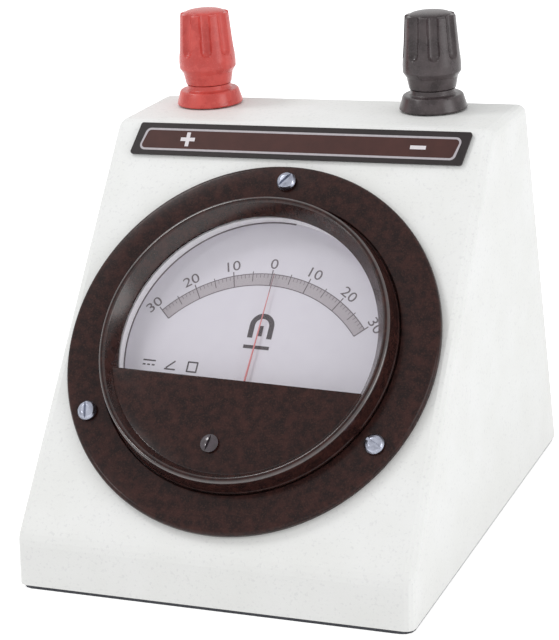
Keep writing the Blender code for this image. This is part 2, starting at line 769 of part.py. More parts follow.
# Base plate: a thin lip under the walls, a step inside them, countersunk screws
def make_base():
    base = piece("base_plate", flat([base_outline(BASE_INSET)], 0, BASE_LIP), "black_board")
    step = flat([base_outline(BASE_STEP_INSET)], BASE_LIP / 2, BASE_TOP)
    apply_tool(base, cutter("base_step", step), "UNION")
    sinks = []
    sink_top = BASE_SCREW_RECESS + BASE_SCREW_SINK + SEAT_GAP
    for place in pillar_places():
        sinks.append(cylinder(BASE_SCREW_HOLE_RADIUS, -OVERRUN, BASE_TOP + OVERRUN, TINY_SEGMENTS, place))
    apply_tool(base, cutter("base_holes", joined(sinks)), "DIFFERENCE")
    mouths = []
    slope = (BASE_SCREW_HEAD_RADIUS - BASE_SCREW_SHANK_RADIUS) / BASE_SCREW_SINK
    mouth_radius = BASE_SCREW_HOLE_RADIUS + slope * (sink_top + OVERRUN)
    for place in pillar_places():
        mouths.append(
            cylinder(mouth_radius, -OVERRUN, sink_top, TINY_SEGMENTS, place, BASE_SCREW_HOLE_RADIUS)
        )
    apply_tool(base, cutter("base_countersinks", joined(mouths)), "DIFFERENCE")

    head_back = BASE_SCREW_RECESS + BASE_SCREW_SINK
    profile = [
        (0, BASE_SCREW_RECESS + BASE_SCREW_LENGTH),
        (BASE_SCREW_SHANK_RADIUS, BASE_SCREW_RECESS + BASE_SCREW_LENGTH),
        (BASE_SCREW_SHANK_RADIUS, head_back),
        (BASE_SCREW_HEAD_RADIUS, BASE_SCREW_RECESS),
        (0, BASE_SCREW_RECESS),
    ]
    half_slot = BASE_SLOT_WIDTH / 2
    for number, (x, y) in enumerate(pillar_places(), 1):
        name = "base_screw_%d" % number
        screw = piece(name, turned(profile, TINY_SEGMENTS), "bright_zinc", place=(x, y, 0))
        slot = box(
            (-BASE_SCREW_HEAD_RADIUS - OVERRUN, -half_slot, BASE_SCREW_RECESS - OVERRUN),
            (BASE_SCREW_HEAD_RADIUS + OVERRUN, half_slot, BASE_SCREW_RECESS + BASE_SLOT_DEPTH),
        )
        apply_tool(screw, cutter("base_slot_%d" % number, slot, place=(x, y, 0)), "DIFFERENCE")


make_base()


# Label strip, leaning with its ends
def make_label():
    top = PANEL_LENGTH - METER_UP_SLOPE - LABEL_TOP_MARGIN
    bottom = top - LABEL_HEIGHT
    half = LABEL_WIDTH / 2
    lean = LABEL_SLANT / 2
    corners = [
        (LABEL_CENTRE_X - half - lean, bottom),
        (LABEL_CENTRE_X + half - lean, bottom),
        (LABEL_CENTRE_X + half + lean, top),
        (LABEL_CENTRE_X - half + lean, top),
    ]
    outline = rounded(corners, LABEL_CORNER_RADIUS, 2)
    piece("label_plate", flat([outline], SEAT_GAP, SEAT_GAP + LABEL_THICKNESS), "label_brown", panel_frame)


make_label()


# Meter housing: flange and barrel in one moulding
def make_housing():
    edge_centre = (FLANGE_RADIUS - FLANGE_EDGE_RADIUS, FLANGE_THICKNESS - FLANGE_EDGE_RADIUS)
    profile = [
        (0, HOUSING_FLOOR_FACE),
        (BARREL_INNER_RADIUS, HOUSING_FLOOR_FACE),
        (BARREL_INNER_RADIUS, COVER_SEAT_HEIGHT),
        (COVER_SEAT_RADIUS, COVER_SEAT_HEIGHT),
        (COVER_SEAT_RADIUS, FLANGE_THICKNESS),
        *arc(edge_centre, FLANGE_EDGE_RADIUS, 90, 0, 3),
        (FLANGE_RADIUS, SEAT_GAP),
        (BARREL_RADIUS, SEAT_GAP),
        (BARREL_RADIUS, HOUSING_BACK + BARREL_CHAMFER),
        (BARREL_RADIUS - BARREL_CHAMFER, HOUSING_BACK),
        (0, HOUSING_BACK),
    ]
    housing = piece("meter_housing", turned(profile, LARGE_SEGMENTS), "phenolic", meter_frame)

    floor_bite = HOUSING_FLOOR_FACE - HOUSING_FLOOR / 2
    boss_top = HOUSING_FLOOR_FACE + BOSS_HEIGHT
    pillar_top = DIAL_BACK - SEAT_GAP
    solids = []
    for side in (-1, 1):
        boss_place = (side * BRIDGE_POST_X, PIVOT_Y)
        pillar_place = (side * DIAL_SCREW_X, DIAL_SCREW_Y)
        solids.append(cylinder(BOSS_RADIUS, floor_bite, boss_top, centre=boss_place))
        solids.append(cylinder(DIAL_PILLAR_RADIUS, floor_bite, pillar_top, centre=pillar_place))
    apply_tool(housing, cutter("housing_posts", joined(solids), meter_frame), "UNION")

    holes = []
    for place in meter_screw_places():
        holes.append(
            cylinder(METER_SCREW_HOLE_RADIUS, -OVERRUN, FLANGE_THICKNESS + OVERRUN, TINY_SEGMENTS, place)
        )
    boss_drill = (HOUSING_FLOOR_FACE - MOVEMENT_SCREW_BITE - SEAT_GAP, boss_top + OVERRUN)
    pillar_drill = (DIAL_FRONT - DIAL_SCREW_LENGTH - SEAT_GAP, DIAL_FRONT)
    stud_drill = (HOUSING_BACK - OVERRUN, HOUSING_FLOOR_FACE + OVERRUN)
    for side in (-1, 1):
        boss_place = (side * BRIDGE_POST_X, PIVOT_Y)
        pillar_place = (side * DIAL_SCREW_X, DIAL_SCREW_Y)
        stud_place = (side * METER_STUD_X, METER_STUD_Y)
        holes.append(cylinder(MOVEMENT_SCREW_HOLE_RADIUS, *boss_drill, TINY_SEGMENTS, boss_place))
        holes.append(cylinder(MOVEMENT_SCREW_HOLE_RADIUS, *pillar_drill, TINY_SEGMENTS, pillar_place))
        holes.append(cylinder(STUD_HOLE_RADIUS, *stud_drill, TINY_SEGMENTS, stud_place))
    apply_tool(housing, cutter("housing_holes", joined(holes), meter_frame), "DIFFERENCE")


make_housing()


def segment_outline(radius, chord_y, above, steps):
    """A circle cut by a level chord, keeping the part above or below it."""
    corner = math.degrees(math.asin(chord_y / radius))
    if above:
        return arc((0, 0), radius, corner, 180 - corner, steps)
    return arc((0, 0), radius, 180 - corner, 360 + corner, steps)


# Meter cover: lip ring, sloping bezel and shield in one moulding
def make_cover():
    foot = COVER_RADIUS - LIP_SHOULDER_STEP
    crown = foot - LIP_TAPER
    profile = [
        *arc((crown - LIP_ROUND, LIP_HEIGHT - LIP_ROUND), LIP_ROUND, 90, 0, 2),
        (foot, LIP_SHOULDER_HEIGHT),
        (COVER_RADIUS, LIP_SHOULDER_HEIGHT - LIP_SHOULDER_STEP),
        (COVER_RADIUS, COVER_BACK),
        (GLASS_RADIUS + SEAT_GAP, COVER_BACK),
        (GLASS_RADIUS + SEAT_GAP, SHIELD_BACK),
        (WINDOW_RADIUS, SHIELD_BACK),
        (WINDOW_RADIUS, SHIELD_BACK + WINDOW_LAND),
        (crown - LIP_CREST_WIDTH - LIP_SHOULDER_STEP, LIP_HEIGHT - LIP_SHOULDER_STEP),
        (crown - LIP_CREST_WIDTH, LIP_HEIGHT),
    ]
    cover = piece("meter_cover", turned(profile, LARGE_SEGMENTS, ring=True), "phenolic", meter_frame)
    outline = segment_outline(WINDOW_RADIUS + SHIELD_BITE, WINDOW_CHORD_Y, False, MEDIUM_SEGMENTS)
    shield = flat([outline], SHIELD_BACK, SHIELD_FRONT)
    apply_tool(cover, cutter("shield", shield, meter_frame), "UNION")
    hole = cylinder(ADJUSTER_SHAFT_RADIUS + SEAT_GAP, SHIELD_BACK - OVERRUN, SHIELD_FRONT + OVERRUN)
    apply_tool(cover, cutter("adjuster_hole", hole, adjuster_axis), "DIFFERENCE")


make_cover()


# Window glass, cut off under the shield
def make_glass():
    outline = segment_outline(GLASS_RADIUS, WINDOW_CHORD_Y - GLASS_CHORD_OVERLAP, True, LARGE_SEGMENTS)
    piece("window_glass", flat([outline], GLASS_BACK, GLASS_FRONT), "window_glass", meter_frame)


make_glass()


def slotted_screw(name, sizes, parent, place, slot_turn=0, segments=TINY_SEGMENTS):
    """A round-head screw whose head rests at its place, driven by a slot."""
    head_radius, head_height, shank_radius, length, slot_width, slot_depth = sizes
    profile = [
        (0, head_height),
        (head_radius * CROWN_SHARE, head_height),
        (head_radius, head_height * CROWN_EDGE_SHARE),
        (head_radius, 0),
        (shank_radius, 0),
        (shank_radius, -length),
        (0, -length),
    ]
    screw = piece(name, turned(profile, segments), "bright_zinc", parent, place)
    turn = Matrix.Rotation(slot_turn, 4, "Z")
    slot = box(
        (-head_radius - OVERRUN, -slot_width / 2, head_height - slot_depth),
        (head_radius + OVERRUN, slot_width / 2, head_height + OVERRUN),
        turn,
    )
    apply_tool(screw, cutter(name + "_slot", slot, parent, place), "DIFFERENCE")


def hex_nut(name, across_flats, thickness, bore, finish, parent, place):
    """A hexagon nut whose back face is at its place."""
    nut = flat([hexagon(across_flats), circle(bore, segments=TINY_SEGMENTS)], 0, thickness)
    piece(name, nut, finish, parent, place)


# Three screws and nuts hold the meter to the panel
def make_meter_screws():
    sizes = (
        METER_SCREW_HEAD_RADIUS,
        METER_SCREW_HEAD_HEIGHT,
        METER_SCREW_SHANK_RADIUS,
        METER_SCREW_LENGTH,
        METER_SLOT_WIDTH,
        METER_SLOT_DEPTH,
    )
    head_seat = FLANGE_THICKNESS + SEAT_GAP
    nut_back = -CASE_WALL - SEAT_GAP - METER_NUT_THICKNESS
    for number, (x, y) in enumerate(meter_screw_places(), 1):
        turn = math.radians(35 + 50 * number)
        slotted_screw("meter_screw_%d" % number, sizes, meter_frame, (x, y, head_seat), turn, SMALL_SEGMENTS)
        hex_nut(
            "meter_nut_%d" % number,
            METER_NUT_ACROSS_FLATS,
            METER_NUT_THICKNESS,
            METER_SCREW_HOLE_RADIUS,
            "bright_zinc",
            meter_frame,
            (x, y, nut_back),
        )


make_meter_screws()


def dial_arc(radius, steps):
    """The dial's round edge, from its right foot over the top to its left one."""
    corner = math.degrees(math.asin(DIAL_BOTTOM_Y / radius))
    return arc((0, 0), radius, corner, 180 - corner, steps)


# Dial pan: a plate with a notch for the movement and an upright rim
def dial_outline():
    rise = DIAL_NOTCH_TOP_Y - PIVOT_Y
    edge = math.degrees(math.asin(rise / DIAL_PIVOT_HOLE_RADIUS))
    hole = arc((0, PIVOT_Y), DIAL_PIVOT_HOLE_RADIUS, 180 - edge, edge, DIAL_HOLE_STEPS)
    return [
        *dial_arc(DIAL_RADIUS, DIAL_OUTLINE_STEPS),
        (-DIAL_NOTCH_HALF_WIDTH, DIAL_BOTTOM_Y),
        (-DIAL_NOTCH_HALF_WIDTH, DIAL_NOTCH_TOP_Y),
        *hole,
        (DIAL_NOTCH_HALF_WIDTH, DIAL_NOTCH_TOP_Y),
        (DIAL_NOTCH_HALF_WIDTH, DIAL_BOTTOM_Y),
    ]


def make_dial():
    screws = [(side * DIAL_SCREW_X, DIAL_SCREW_Y) for side in (-1, 1)]
    holes = [circle(MOVEMENT_SCREW_HOLE_RADIUS, place, TINY_SEGMENTS) for place in screws]
    plate = flat([dial_outline(), *holes], DIAL_BACK, DIAL_FRONT)
    dial = piece("dial_plate", plate, "dial_grey", meter_frame)
    inner = dial_arc(DIAL_RADIUS - DIAL_RIM_THICKNESS, DIAL_OUTLINE_STEPS)
    rim = flat([[*dial_arc(DIAL_RADIUS, DIAL_OUTLINE_STEPS), *reversed(inner)]], DIAL_BACK, DIAL_RIM_TOP)
    apply_tool(dial, cutter("dial_rim", rim, meter_frame), "UNION")
    sizes = (
        DIAL_SCREW_HEAD_RADIUS,
        DIAL_SCREW_HEAD_HEIGHT,
        DIAL_SCREW_SHANK_RADIUS,
        DIAL_SCREW_LENGTH,
        JEWEL_SLOT_WIDTH,
        JEWEL_SLOT_DEPTH,
    )
    for number, side in enumerate((-1, 1), 1):
        place = (side * DIAL_SCREW_X, DIAL_SCREW_Y, DIAL_FRONT + SEAT_GAP)
        slotted_screw("dial_screw_%d" % number, sizes, meter_frame, place)


make_dial()


# Magnet system: yoke ring, core magnet and the strip that holds the core
def make_magnet():
    screws = [(side * BRIDGE_POST_X, 0) for side in (-1, 1)]
    holes = [circle(MOVEMENT_SCREW_HOLE_RADIUS, place, TINY_SEGMENTS) for place in screws]
    rings = [circle(radius, segments=MEDIUM_SEGMENTS) for radius in (YOKE_OUTER_RADIUS, YOKE_INNER_RADIUS)]
    yoke = flat([*rings, *holes], YOKE_BACK, YOKE_FRONT)
    piece("yoke_ring", yoke, "soft_iron", meter_frame, (0, PIVOT_Y, 0))

    profile = [
        (0, CORE_FRONT),
        (CORE_RADIUS - CORE_CHAMFER, CORE_FRONT),
        (CORE_RADIUS, CORE_FRONT - CORE_CHAMFER),
        (CORE_RADIUS, CORE_BACK + CORE_CHAMFER),
        (CORE_RADIUS - CORE_CHAMFER, CORE_BACK),
        (0, CORE_BACK),
    ]
    piece("core_magnet", turned(profile), "magnet_alloy", meter_frame, (0, PIVOT_Y, 0))

    half_width = CLAMP_WIDTH / 2
    corners = [
        (-YOKE_OUTER_RADIUS, -half_width),
        (YOKE_OUTER_RADIUS, -half_width),
        (YOKE_OUTER_RADIUS, half_width),
        (-YOKE_OUTER_RADIUS, half_width),
    ]
    strip = flat([rounded(corners, half_width * CLAMP_CORNER_SHARE, 2), *holes], CLAMP_BACK, CLAMP_FRONT)
    piece("core_clamp", strip, "brass", meter_frame, (0, PIVOT_Y, 0))


make_magnet()


def bridge_outline(post_radius):
    """A strip across the movement, round at both posts."""
    half_width = BRIDGE_WIDTH / 2
    reach = BRIDGE_POST_X + post_radius
    corners = [(-reach, -half_width), (reach, -half_width), (reach, half_width), (-reach, half_width)]
    return rounded(corners, half_width * BRIDGE_CORNER_SHARE, 2)


def make_bridge(name, top, bottom, post_radius, post_low, post_high, extra=None):
    """A bridge: a plate, two posts on it and the holes through it."""
    plate = flat([bridge_outline(post_radius)], bottom, top)
    bridge = piece(name, plate, "brass", meter_frame, (0, PIVOT_Y, 0))
    places = [(side * BRIDGE_POST_X, 0) for side in (-1, 1)]
    posts = [cylinder(post_radius, post_low, post_high, TINY_SEGMENTS, place) for place in places]
    if extra is not None:
        posts.append(extra)
    apply_tool(bridge, cutter(name + "_posts", joined(posts), meter_frame, (0, PIVOT_Y, 0)), "UNION")
    low = min(bottom, post_low) - OVERRUN
    high = max(top, post_high) + OVERRUN
    drills = [cylinder(MOVEMENT_SCREW_HOLE_RADIUS, low, high, TINY_SEGMENTS, place) for place in places]
    drills.append(cylinder(JEWEL_SCREW_RADIUS + JEWEL_CLEARANCE, low, high, TINY_SEGMENTS))
    apply_tool(bridge, cutter(name + "_drills", joined(drills), meter_frame, (0, PIVOT_Y, 0)), "DIFFERENCE")


def tab(angle, low, high):
    """A small upright tab that holds a hairspring's outer end."""
    half = SPRING_TAB_SIZE / 2
    turn = Matrix.Rotation(angle, 4, "Z")
    return box(
        (SPRING_TAB_RADIUS - half, -half, low),
        (SPRING_TAB_RADIUS + half, half, high),
        turn,
    )


def make_bridges():
    middle = FRONT_BRIDGE_BACK + FRONT_BRIDGE_THICKNESS / 2
    make_bridge(
        "front_bridge",
        FRONT_BRIDGE_FRONT,
        FRONT_BRIDGE_BACK,
        FRONT_POST_RADIUS,
        YOKE_FRONT + SEAT_GAP,
        middle,
    )
    middle = REAR_BRIDGE_BACK + REAR_BRIDGE_THICKNESS / 2
    make_bridge(
        "rear_bridge",
        REAR_BRIDGE_FRONT,
        REAR_BRIDGE_BACK,
        REAR_POST_RADIUS,
        middle,
        REAR_POST_FRONT,
        tab(REAR_TAB_ANGLE, middle, REAR_HAIRSPRING_HEIGHT + HAIRSPRING_WIRE_RADIUS),
    )


make_bridges()


# Two long screws clamp the movement to the housing's bosses
def make_movement_screws():
    head_seat = FRONT_BRIDGE_FRONT + SEAT_GAP
    length = head_seat - HOUSING_FLOOR_FACE + MOVEMENT_SCREW_BITE
    sizes = (
        MOVEMENT_SCREW_HEAD_RADIUS,
        MOVEMENT_SCREW_HEAD_HEIGHT,
        MOVEMENT_SCREW_RADIUS,
        length,
        JEWEL_SLOT_WIDTH,
        JEWEL_SLOT_DEPTH,
    )
    for number, side in enumerate((-1, 1), 1):
        place = (side * BRIDGE_POST_X, PIVOT_Y, head_seat)
        slotted_screw("movement_screw_%d" % number, sizes, meter_frame, place)


make_movement_screws()


# Jewel screws: a slot at the outer end and a cup at the inner end
def make_jewel_screw(name, outer, inner):
    """The cup opens towards the coil, which lies on the inner side."""
    facing = 1 if outer > inner else -1
    length = abs(outer - inner)
    profile = [
        (0, length),
        (JEWEL_SCREW_RADIUS, length),
        (JEWEL_SCREW_RADIUS, 0),
        (JEWEL_CUP_RADIUS, 0),
        (0, JEWEL_CUP_DEPTH),
    ]
    screw = piece(name, turned(profile, SMALL_SEGMENTS), "brass", meter_frame, (0, PIVOT_Y, inner))
    slot = box(
        (-JEWEL_SCREW_RADIUS - OVERRUN, -JEWEL_SLOT_WIDTH / 2, length - JEWEL_SLOT_DEPTH),
        (JEWEL_SCREW_RADIUS + OVERRUN, JEWEL_SLOT_WIDTH / 2, length + OVERRUN),
    )
    tool = cutter(name + "_slot", slot, meter_frame, (0, PIVOT_Y, inner))
    if facing < 0:
        screw.rotation_euler = (math.pi, 0, 0)
        tool.rotation_euler = (math.pi, 0, 0)
    apply_tool(screw, tool, "DIFFERENCE")


make_jewel_screw("front_jewel_screw", FRONT_JEWEL_TOP, FRONT_JEWEL_BOTTOM)
make_jewel_screw("rear_jewel_screw", REAR_JEWEL_BOTTOM, REAR_JEWEL_TOP)


# Moving coil: a light former with its winding, in the plane of the pointer
UPRIGHT = Matrix(((0, 0, 1, 0), (1, 0, 0, 0), (0, 1, 0, 0), (0, 0, 0, 1)))


def frame_outlines(side, front, back, thickness):
    """A rectangle and the hole in it, as (y, z) points."""
    outlines = []
    for grow in (thickness, 0):
        outlines.append([
            (-side - grow, back - grow),
            (side + grow, back - grow),
            (side + grow, front + grow),
            (-side - grow, front + grow),
        ])
    return outlines


def make_coil():
    outlines = frame_outlines(FORMER_IN_SIDE, FORMER_IN_FRONT, FORMER_IN_BACK, FORMER_THICKNESS)
    former = flat(outlines, -FORMER_WIDTH / 2, FORMER_WIDTH / 2, UPRIGHT)
    piece("coil_former", former, "aluminium", pointer_axis)
    step = FORMER_THICKNESS + WINDING_GAP
    side = FORMER_IN_SIDE + step
    outlines = frame_outlines(side, FORMER_IN_FRONT + step, FORMER_IN_BACK - step, WINDING_THICKNESS)
    winding = flat(outlines, -WINDING_WIDTH / 2, WINDING_WIDTH / 2, UPRIGHT)
    piece("coil_winding", winding, "copper_winding", pointer_axis)


make_coil()


# Pivots: a foot on the winding, a shaft and a fine cone
def make_pivot(name, foot, tip):
    length = abs(tip - foot)
    profile = [
        (0, length),
        (PIVOT_TIP_RADIUS, length),
        (PIVOT_SHAFT_RADIUS, length - PIVOT_CONE_LENGTH),
        (PIVOT_SHAFT_RADIUS, PIVOT_BASE_THICKNESS),
        (PIVOT_BASE_RADIUS, PIVOT_BASE_THICKNESS),
        (PIVOT_BASE_RADIUS, 0),
        (0, 0),
    ]
    pivot = piece(name, turned(profile, TINY_SEGMENTS), "steel", pointer_axis, (0, 0, foot))
    if tip < foot:
        pivot.rotation_euler = (math.pi, 0, 0)


make_pivot("front_pivot", WINDING_FRONT + SEAT_GAP, FRONT_PIVOT_TIP)
make_pivot("rear_pivot", WINDING_BACK - SEAT_GAP, REAR_PIVOT_TIP)


# Pointer: hub, cranked stem, and the cross that carries the weights
def make_pointer():
    half = POINTER_HUB_THICKNESS / 2
    rings = [circle(POINTER_HUB_RADIUS), circle(PIVOT_SHAFT_RADIUS + SEAT_GAP, segments=TINY_SEGMENTS)]
    hub = flat(rings, POINTER_HUB_HEIGHT - half, POINTER_HUB_HEIGHT + half)
    pointer = piece("pointer", hub, "pointer_red", pointer_axis)
    root = (PIVOT_SHAFT_RADIUS + SEAT_GAP + POINTER_HUB_RADIUS) / 2
    stem = tube(
        [
            (0, root, POINTER_HUB_HEIGHT),
            (0, POINTER_HUB_RADIUS + POINTER_STEM_RADIUS, POINTER_HUB_HEIGHT),
            (0, POINTER_CRANK_RADIUS, POINTER_HEIGHT),
            (0, POINTER_LENGTH - POINTER_TIP_LENGTH, POINTER_HEIGHT),
            (0, POINTER_LENGTH, POINTER_HEIGHT),
        ],
        POINTER_STEM_RADIUS,
        [*[POINTER_STEM_RADIUS] * 3, POINTER_TIP_RADIUS, POINTER_TIP_RADIUS],
    )
    apply_tool(pointer, cutter("pointer_stem", stem, pointer_axis), "UNION")
    arms = []
    for end in ((-CROSS_ARM_LENGTH, 0), (CROSS_ARM_LENGTH, 0), (0, -TAIL_LENGTH)):
        away = Vector((*end, 0)).normalized()
        start = away * root + Vector((0, 0, POINTER_HUB_HEIGHT))
        arms.append(tube([start, (*end, POINTER_HUB_HEIGHT)], CROSS_ARM_RADIUS))
    apply_tool(pointer, cutter("balance_cross", joined(arms), pointer_axis), "UNION")


def make_weight(name, direction, end, radius, length):
    """A small turned weight threaded on an arm of the cross."""
    bore = CROSS_ARM_RADIUS + SEAT_GAP / 2
    sleeve = flat([circle(radius, segments=TINY_SEGMENTS), circle(bore, segments=TINY_SEGMENTS)], 0, length)
    away = Vector((*direction, 0))
    sleeve.transform(away.to_track_quat("Z", "Y").to_matrix().to_4x4())
    start = away * (end - WEIGHT_END_SPACE - length) + Vector((0, 0, POINTER_HUB_HEIGHT))
    piece(name, sleeve, "brass", pointer_axis, start)


make_pointer()
make_weight("balance_weight_left", (-1, 0), CROSS_ARM_LENGTH, SIDE_WEIGHT_RADIUS, SIDE_WEIGHT_LENGTH)
make_weight("balance_weight_right", (1, 0), CROSS_ARM_LENGTH, SIDE_WEIGHT_RADIUS, SIDE_WEIGHT_LENGTH)
make_weight("balance_weight_tail", (0, -1), TAIL_LENGTH, TAIL_WEIGHT_RADIUS, TAIL_WEIGHT_LENGTH)


# Hairsprings: flat spirals that wind outwards to their tabs
def spiral(height, end_angle, hand):
    steps = HAIRSPRING_TURNS * HAIRSPRING_STEPS_PER_TURN
    points = []
    for index in range(steps + 1):
        share = index / steps
        radius = HAIRSPRING_INNER_RADIUS + (HAIRSPRING_OUTER_RADIUS - HAIRSPRING_INNER_RADIUS) * share
        angle = end_angle - hand * 2 * math.pi * HAIRSPRING_TURNS * (1 - share)
        points.append((radius * math.cos(angle), radius * math.sin(angle), height))
    return points


def least_gap(points, wire_radius, skip):
    """The narrowest space between two stretches of a wire that aren't neighbours."""
    places = [Vector(point) for point in points]
    least = min(
        (places[first] - places[second]).length
        for first in range(len(places))
        for second in range(first + skip, len(places))
    )
    return least - 2 * wire_radius


def make_hairspring(name, height, end_angle, hand, parent, place):
    points = spiral(height, end_angle, hand)
    gap = least_gap(points, HAIRSPRING_WIRE_RADIUS, HAIRSPRING_STEPS_PER_TURN // 2)
    print("%s: least gap between turns %.2f mm" % (name, gap * 1000))
    piece(name, tube(points, HAIRSPRING_WIRE_RADIUS, resolution=0), "phosphor_bronze", parent, place)


make_hairspring("front_hairspring", FRONT_HAIRSPRING_HEIGHT, FRONT_TAB_ANGLE, 1, lever_axis, (0, 0, 0))
make_hairspring("rear_hairspring", REAR_HAIRSPRING_HEIGHT, REAR_TAB_ANGLE, -1, meter_frame, (0, PIVOT_Y, 0))


# Zero lever: a ring round the jewel screw, a fork for the pin and a spring tab
def make_lever():
    half = LEVER_ARM_WIDTH / 2
    slot = ADJUSTER_PIN_RADIUS + SEAT_GAP
    fork_root = LEVER_ARM_END - LEVER_FORK_DEPTH
    join_y = -math.sqrt(LEVER_RING_RADIUS ** 2 - half ** 2)
    edge = math.degrees(math.atan2(join_y, half))
    ring = arc((0, 0), LEVER_RING_RADIUS, edge, 180 - edge, MEDIUM_SEGMENTS)
    outline = [
        *ring,
        (-half, -LEVER_ARM_END),
        (-slot, -LEVER_ARM_END),
        *arc((0, -fork_root), slot, 180, 0, 4),
        (slot, -LEVER_ARM_END),
        (half, -LEVER_ARM_END),
    ]
    bore = circle(JEWEL_SCREW_RADIUS + SEAT_GAP)
    lever = piece("zero_lever", flat([outline, bore], LEVER_BACK, LEVER_FRONT), "brass", lever_axis)
    side_half = LEVER_SIDE_ARM_WIDTH / 2
    root = (JEWEL_SCREW_RADIUS + SEAT_GAP + LEVER_RING_RADIUS) / 2
    tip = SPRING_TAB_RADIUS + SPRING_TAB_SIZE / 2
    turn = Matrix.Rotation(FRONT_TAB_ANGLE, 4, "Z")
    arm = box((root, -side_half, LEVER_BACK), (tip, side_half, LEVER_FRONT), turn)
    apply_tool(lever, cutter("lever_side_arm", arm, lever_axis), "UNION")
    foot = FRONT_HAIRSPRING_HEIGHT - HAIRSPRING_WIRE_RADIUS
    reach = tab(FRONT_TAB_ANGLE, foot, LEVER_BACK + LEVER_THICKNESS / 2)
    apply_tool(lever, cutter("lever_tab", reach, lever_axis), "UNION")


make_lever()


# Zero adjuster: a slotted button with an eccentric pin behind the shield
def make_adjuster():
    head_back = SHIELD_FRONT + SEAT_GAP
    head_front = head_back + ADJUSTER_HEAD_HEIGHT
    flange_front = SHIELD_BACK - SEAT_GAP
    flange_back = flange_front - ADJUSTER_FLANGE_THICKNESS
    crown = (ADJUSTER_HEAD_RADIUS - ADJUSTER_HEAD_ROUND, head_front - ADJUSTER_HEAD_ROUND)
    profile = [
        (0, head_front),
        *arc(crown, ADJUSTER_HEAD_ROUND, 90, 0, 2),
        (ADJUSTER_HEAD_RADIUS, head_back),
        (ADJUSTER_SHAFT_RADIUS, head_back),
        (ADJUSTER_SHAFT_RADIUS, flange_front),
        (ADJUSTER_FLANGE_RADIUS, flange_front),
        (ADJUSTER_FLANGE_RADIUS, flange_back),
        (0, flange_back),
    ]
    adjuster = piece("zero_adjuster", turned(profile, SMALL_SEGMENTS), "black_plastic", adjuster_axis)
    pin = cylinder(
        ADJUSTER_PIN_RADIUS,
        ADJUSTER_PIN_END,
        flange_back + ADJUSTER_FLANGE_THICKNESS / 2,
        TINY_SEGMENTS,
        (0, ADJUSTER_PIN_OFFSET),
    )
    apply_tool(adjuster, cutter("adjuster_pin", pin, adjuster_axis), "UNION")
    slot = box(
        (-ADJUSTER_SLOT_WIDTH / 2, -ADJUSTER_HEAD_RADIUS - OVERRUN, head_front - ADJUSTER_SLOT_DEPTH),
        (ADJUSTER_SLOT_WIDTH / 2, ADJUSTER_HEAD_RADIUS + OVERRUN, head_front + OVERRUN),
    )
    apply_tool(adjuster, cutter("adjuster_slot", slot, adjuster_axis), "DIFFERENCE")


make_adjuster()


def solder_tag(name, bore, finish, parent, place, turn=0):
    """A ring tag with a tongue along +y before it is turned; its back face is at its place."""
    half = TAG_TONGUE_WIDTH / 2
    join_y = math.sqrt(TAG_RING_RADIUS ** 2 - half ** 2)
    edge = math.degrees(math.atan2(join_y, half))
    ring = arc((0, 0), TAG_RING_RADIUS, 180 - edge, 360 + edge, SMALL_SEGMENTS)
    tongue = arc((0, TAG_LENGTH - half), half, 0, 180, 4)
    eye = circle(TAG_EYE_RADIUS, (0, TAG_LENGTH - TAG_EYE_INSET), 8)
    hole = circle(bore, segments=TINY_SEGMENTS)
    tag = piece(name, flat([[*ring, *tongue], hole, eye], 0, TAG_THICKNESS), finish, parent, place)
    tag.rotation_euler = (0, 0, turn)


# Meter studs through the housing's floor, each with a tag and a nut behind
def make_meter_studs():
    head_back = HOUSING_FLOOR_FACE + SEAT_GAP
    head_front = head_back + METER_STUD_HEAD_THICKNESS
    profile = [
        (0, head_front),
        (METER_STUD_HEAD_RADIUS, head_front),
        (METER_STUD_HEAD_RADIUS, head_back),
        (METER_STUD_RADIUS, head_back),
        (METER_STUD_RADIUS, HOUSING_BACK - METER_STUD_REACH),
        (0, HOUSING_BACK - METER_STUD_REACH),
    ]
    tag_back = HOUSING_BACK - SEAT_GAP - TAG_THICKNESS
    nut_back = tag_back - SEAT_GAP - STUD_NUT_THICKNESS
    for number, side in enumerate((-1, 1), 1):
        x = side * METER_STUD_X
        name = "meter_stud_%d" % number
        piece(name, turned(profile, SMALL_SEGMENTS), "brass", meter_frame, (x, METER_STUD_Y, 0))
        name = "meter_tag_%d" % number
        solder_tag(name, STUD_HOLE_RADIUS, "bright_zinc", meter_frame, (x, METER_STUD_Y, tag_back))
        hex_nut(
            "meter_stud_nut_%d" % number,
            STUD_NUT_ACROSS_FLATS,
            STUD_NUT_THICKNESS,
            STUD_HOLE_RADIUS,
            "brass",
            meter_frame,
            (x, METER_STUD_Y, nut_back),
        )


make_meter_studs()


# Terminals: heights are measured from the top of the case
def collar_profile():
    shoulder = (COLLAR_SHOULDER_RADIUS - COLLAR_EDGE, COLLAR_SHOULDER_HEIGHT - COLLAR_EDGE)
    bore = POST_RADIUS + SEAT_GAP
    return [
        (COLLAR_NECK_RADIUS - COLLAR_EDGE, COLLAR_HEIGHT),
        (COLLAR_NECK_RADIUS, COLLAR_HEIGHT - COLLAR_EDGE),
        (COLLAR_NECK_RADIUS, COLLAR_SHOULDER_HEIGHT),
        *arc(shoulder, COLLAR_EDGE, 90, 0, 1),
        (COLLAR_RADIUS, SEAT_GAP),
        (SPIGOT_RADIUS, SEAT_GAP),
        (SPIGOT_RADIUS, -SPIGOT_LENGTH),
        (bore, -SPIGOT_LENGTH),
        (bore, COLLAR_HEIGHT),
    ]


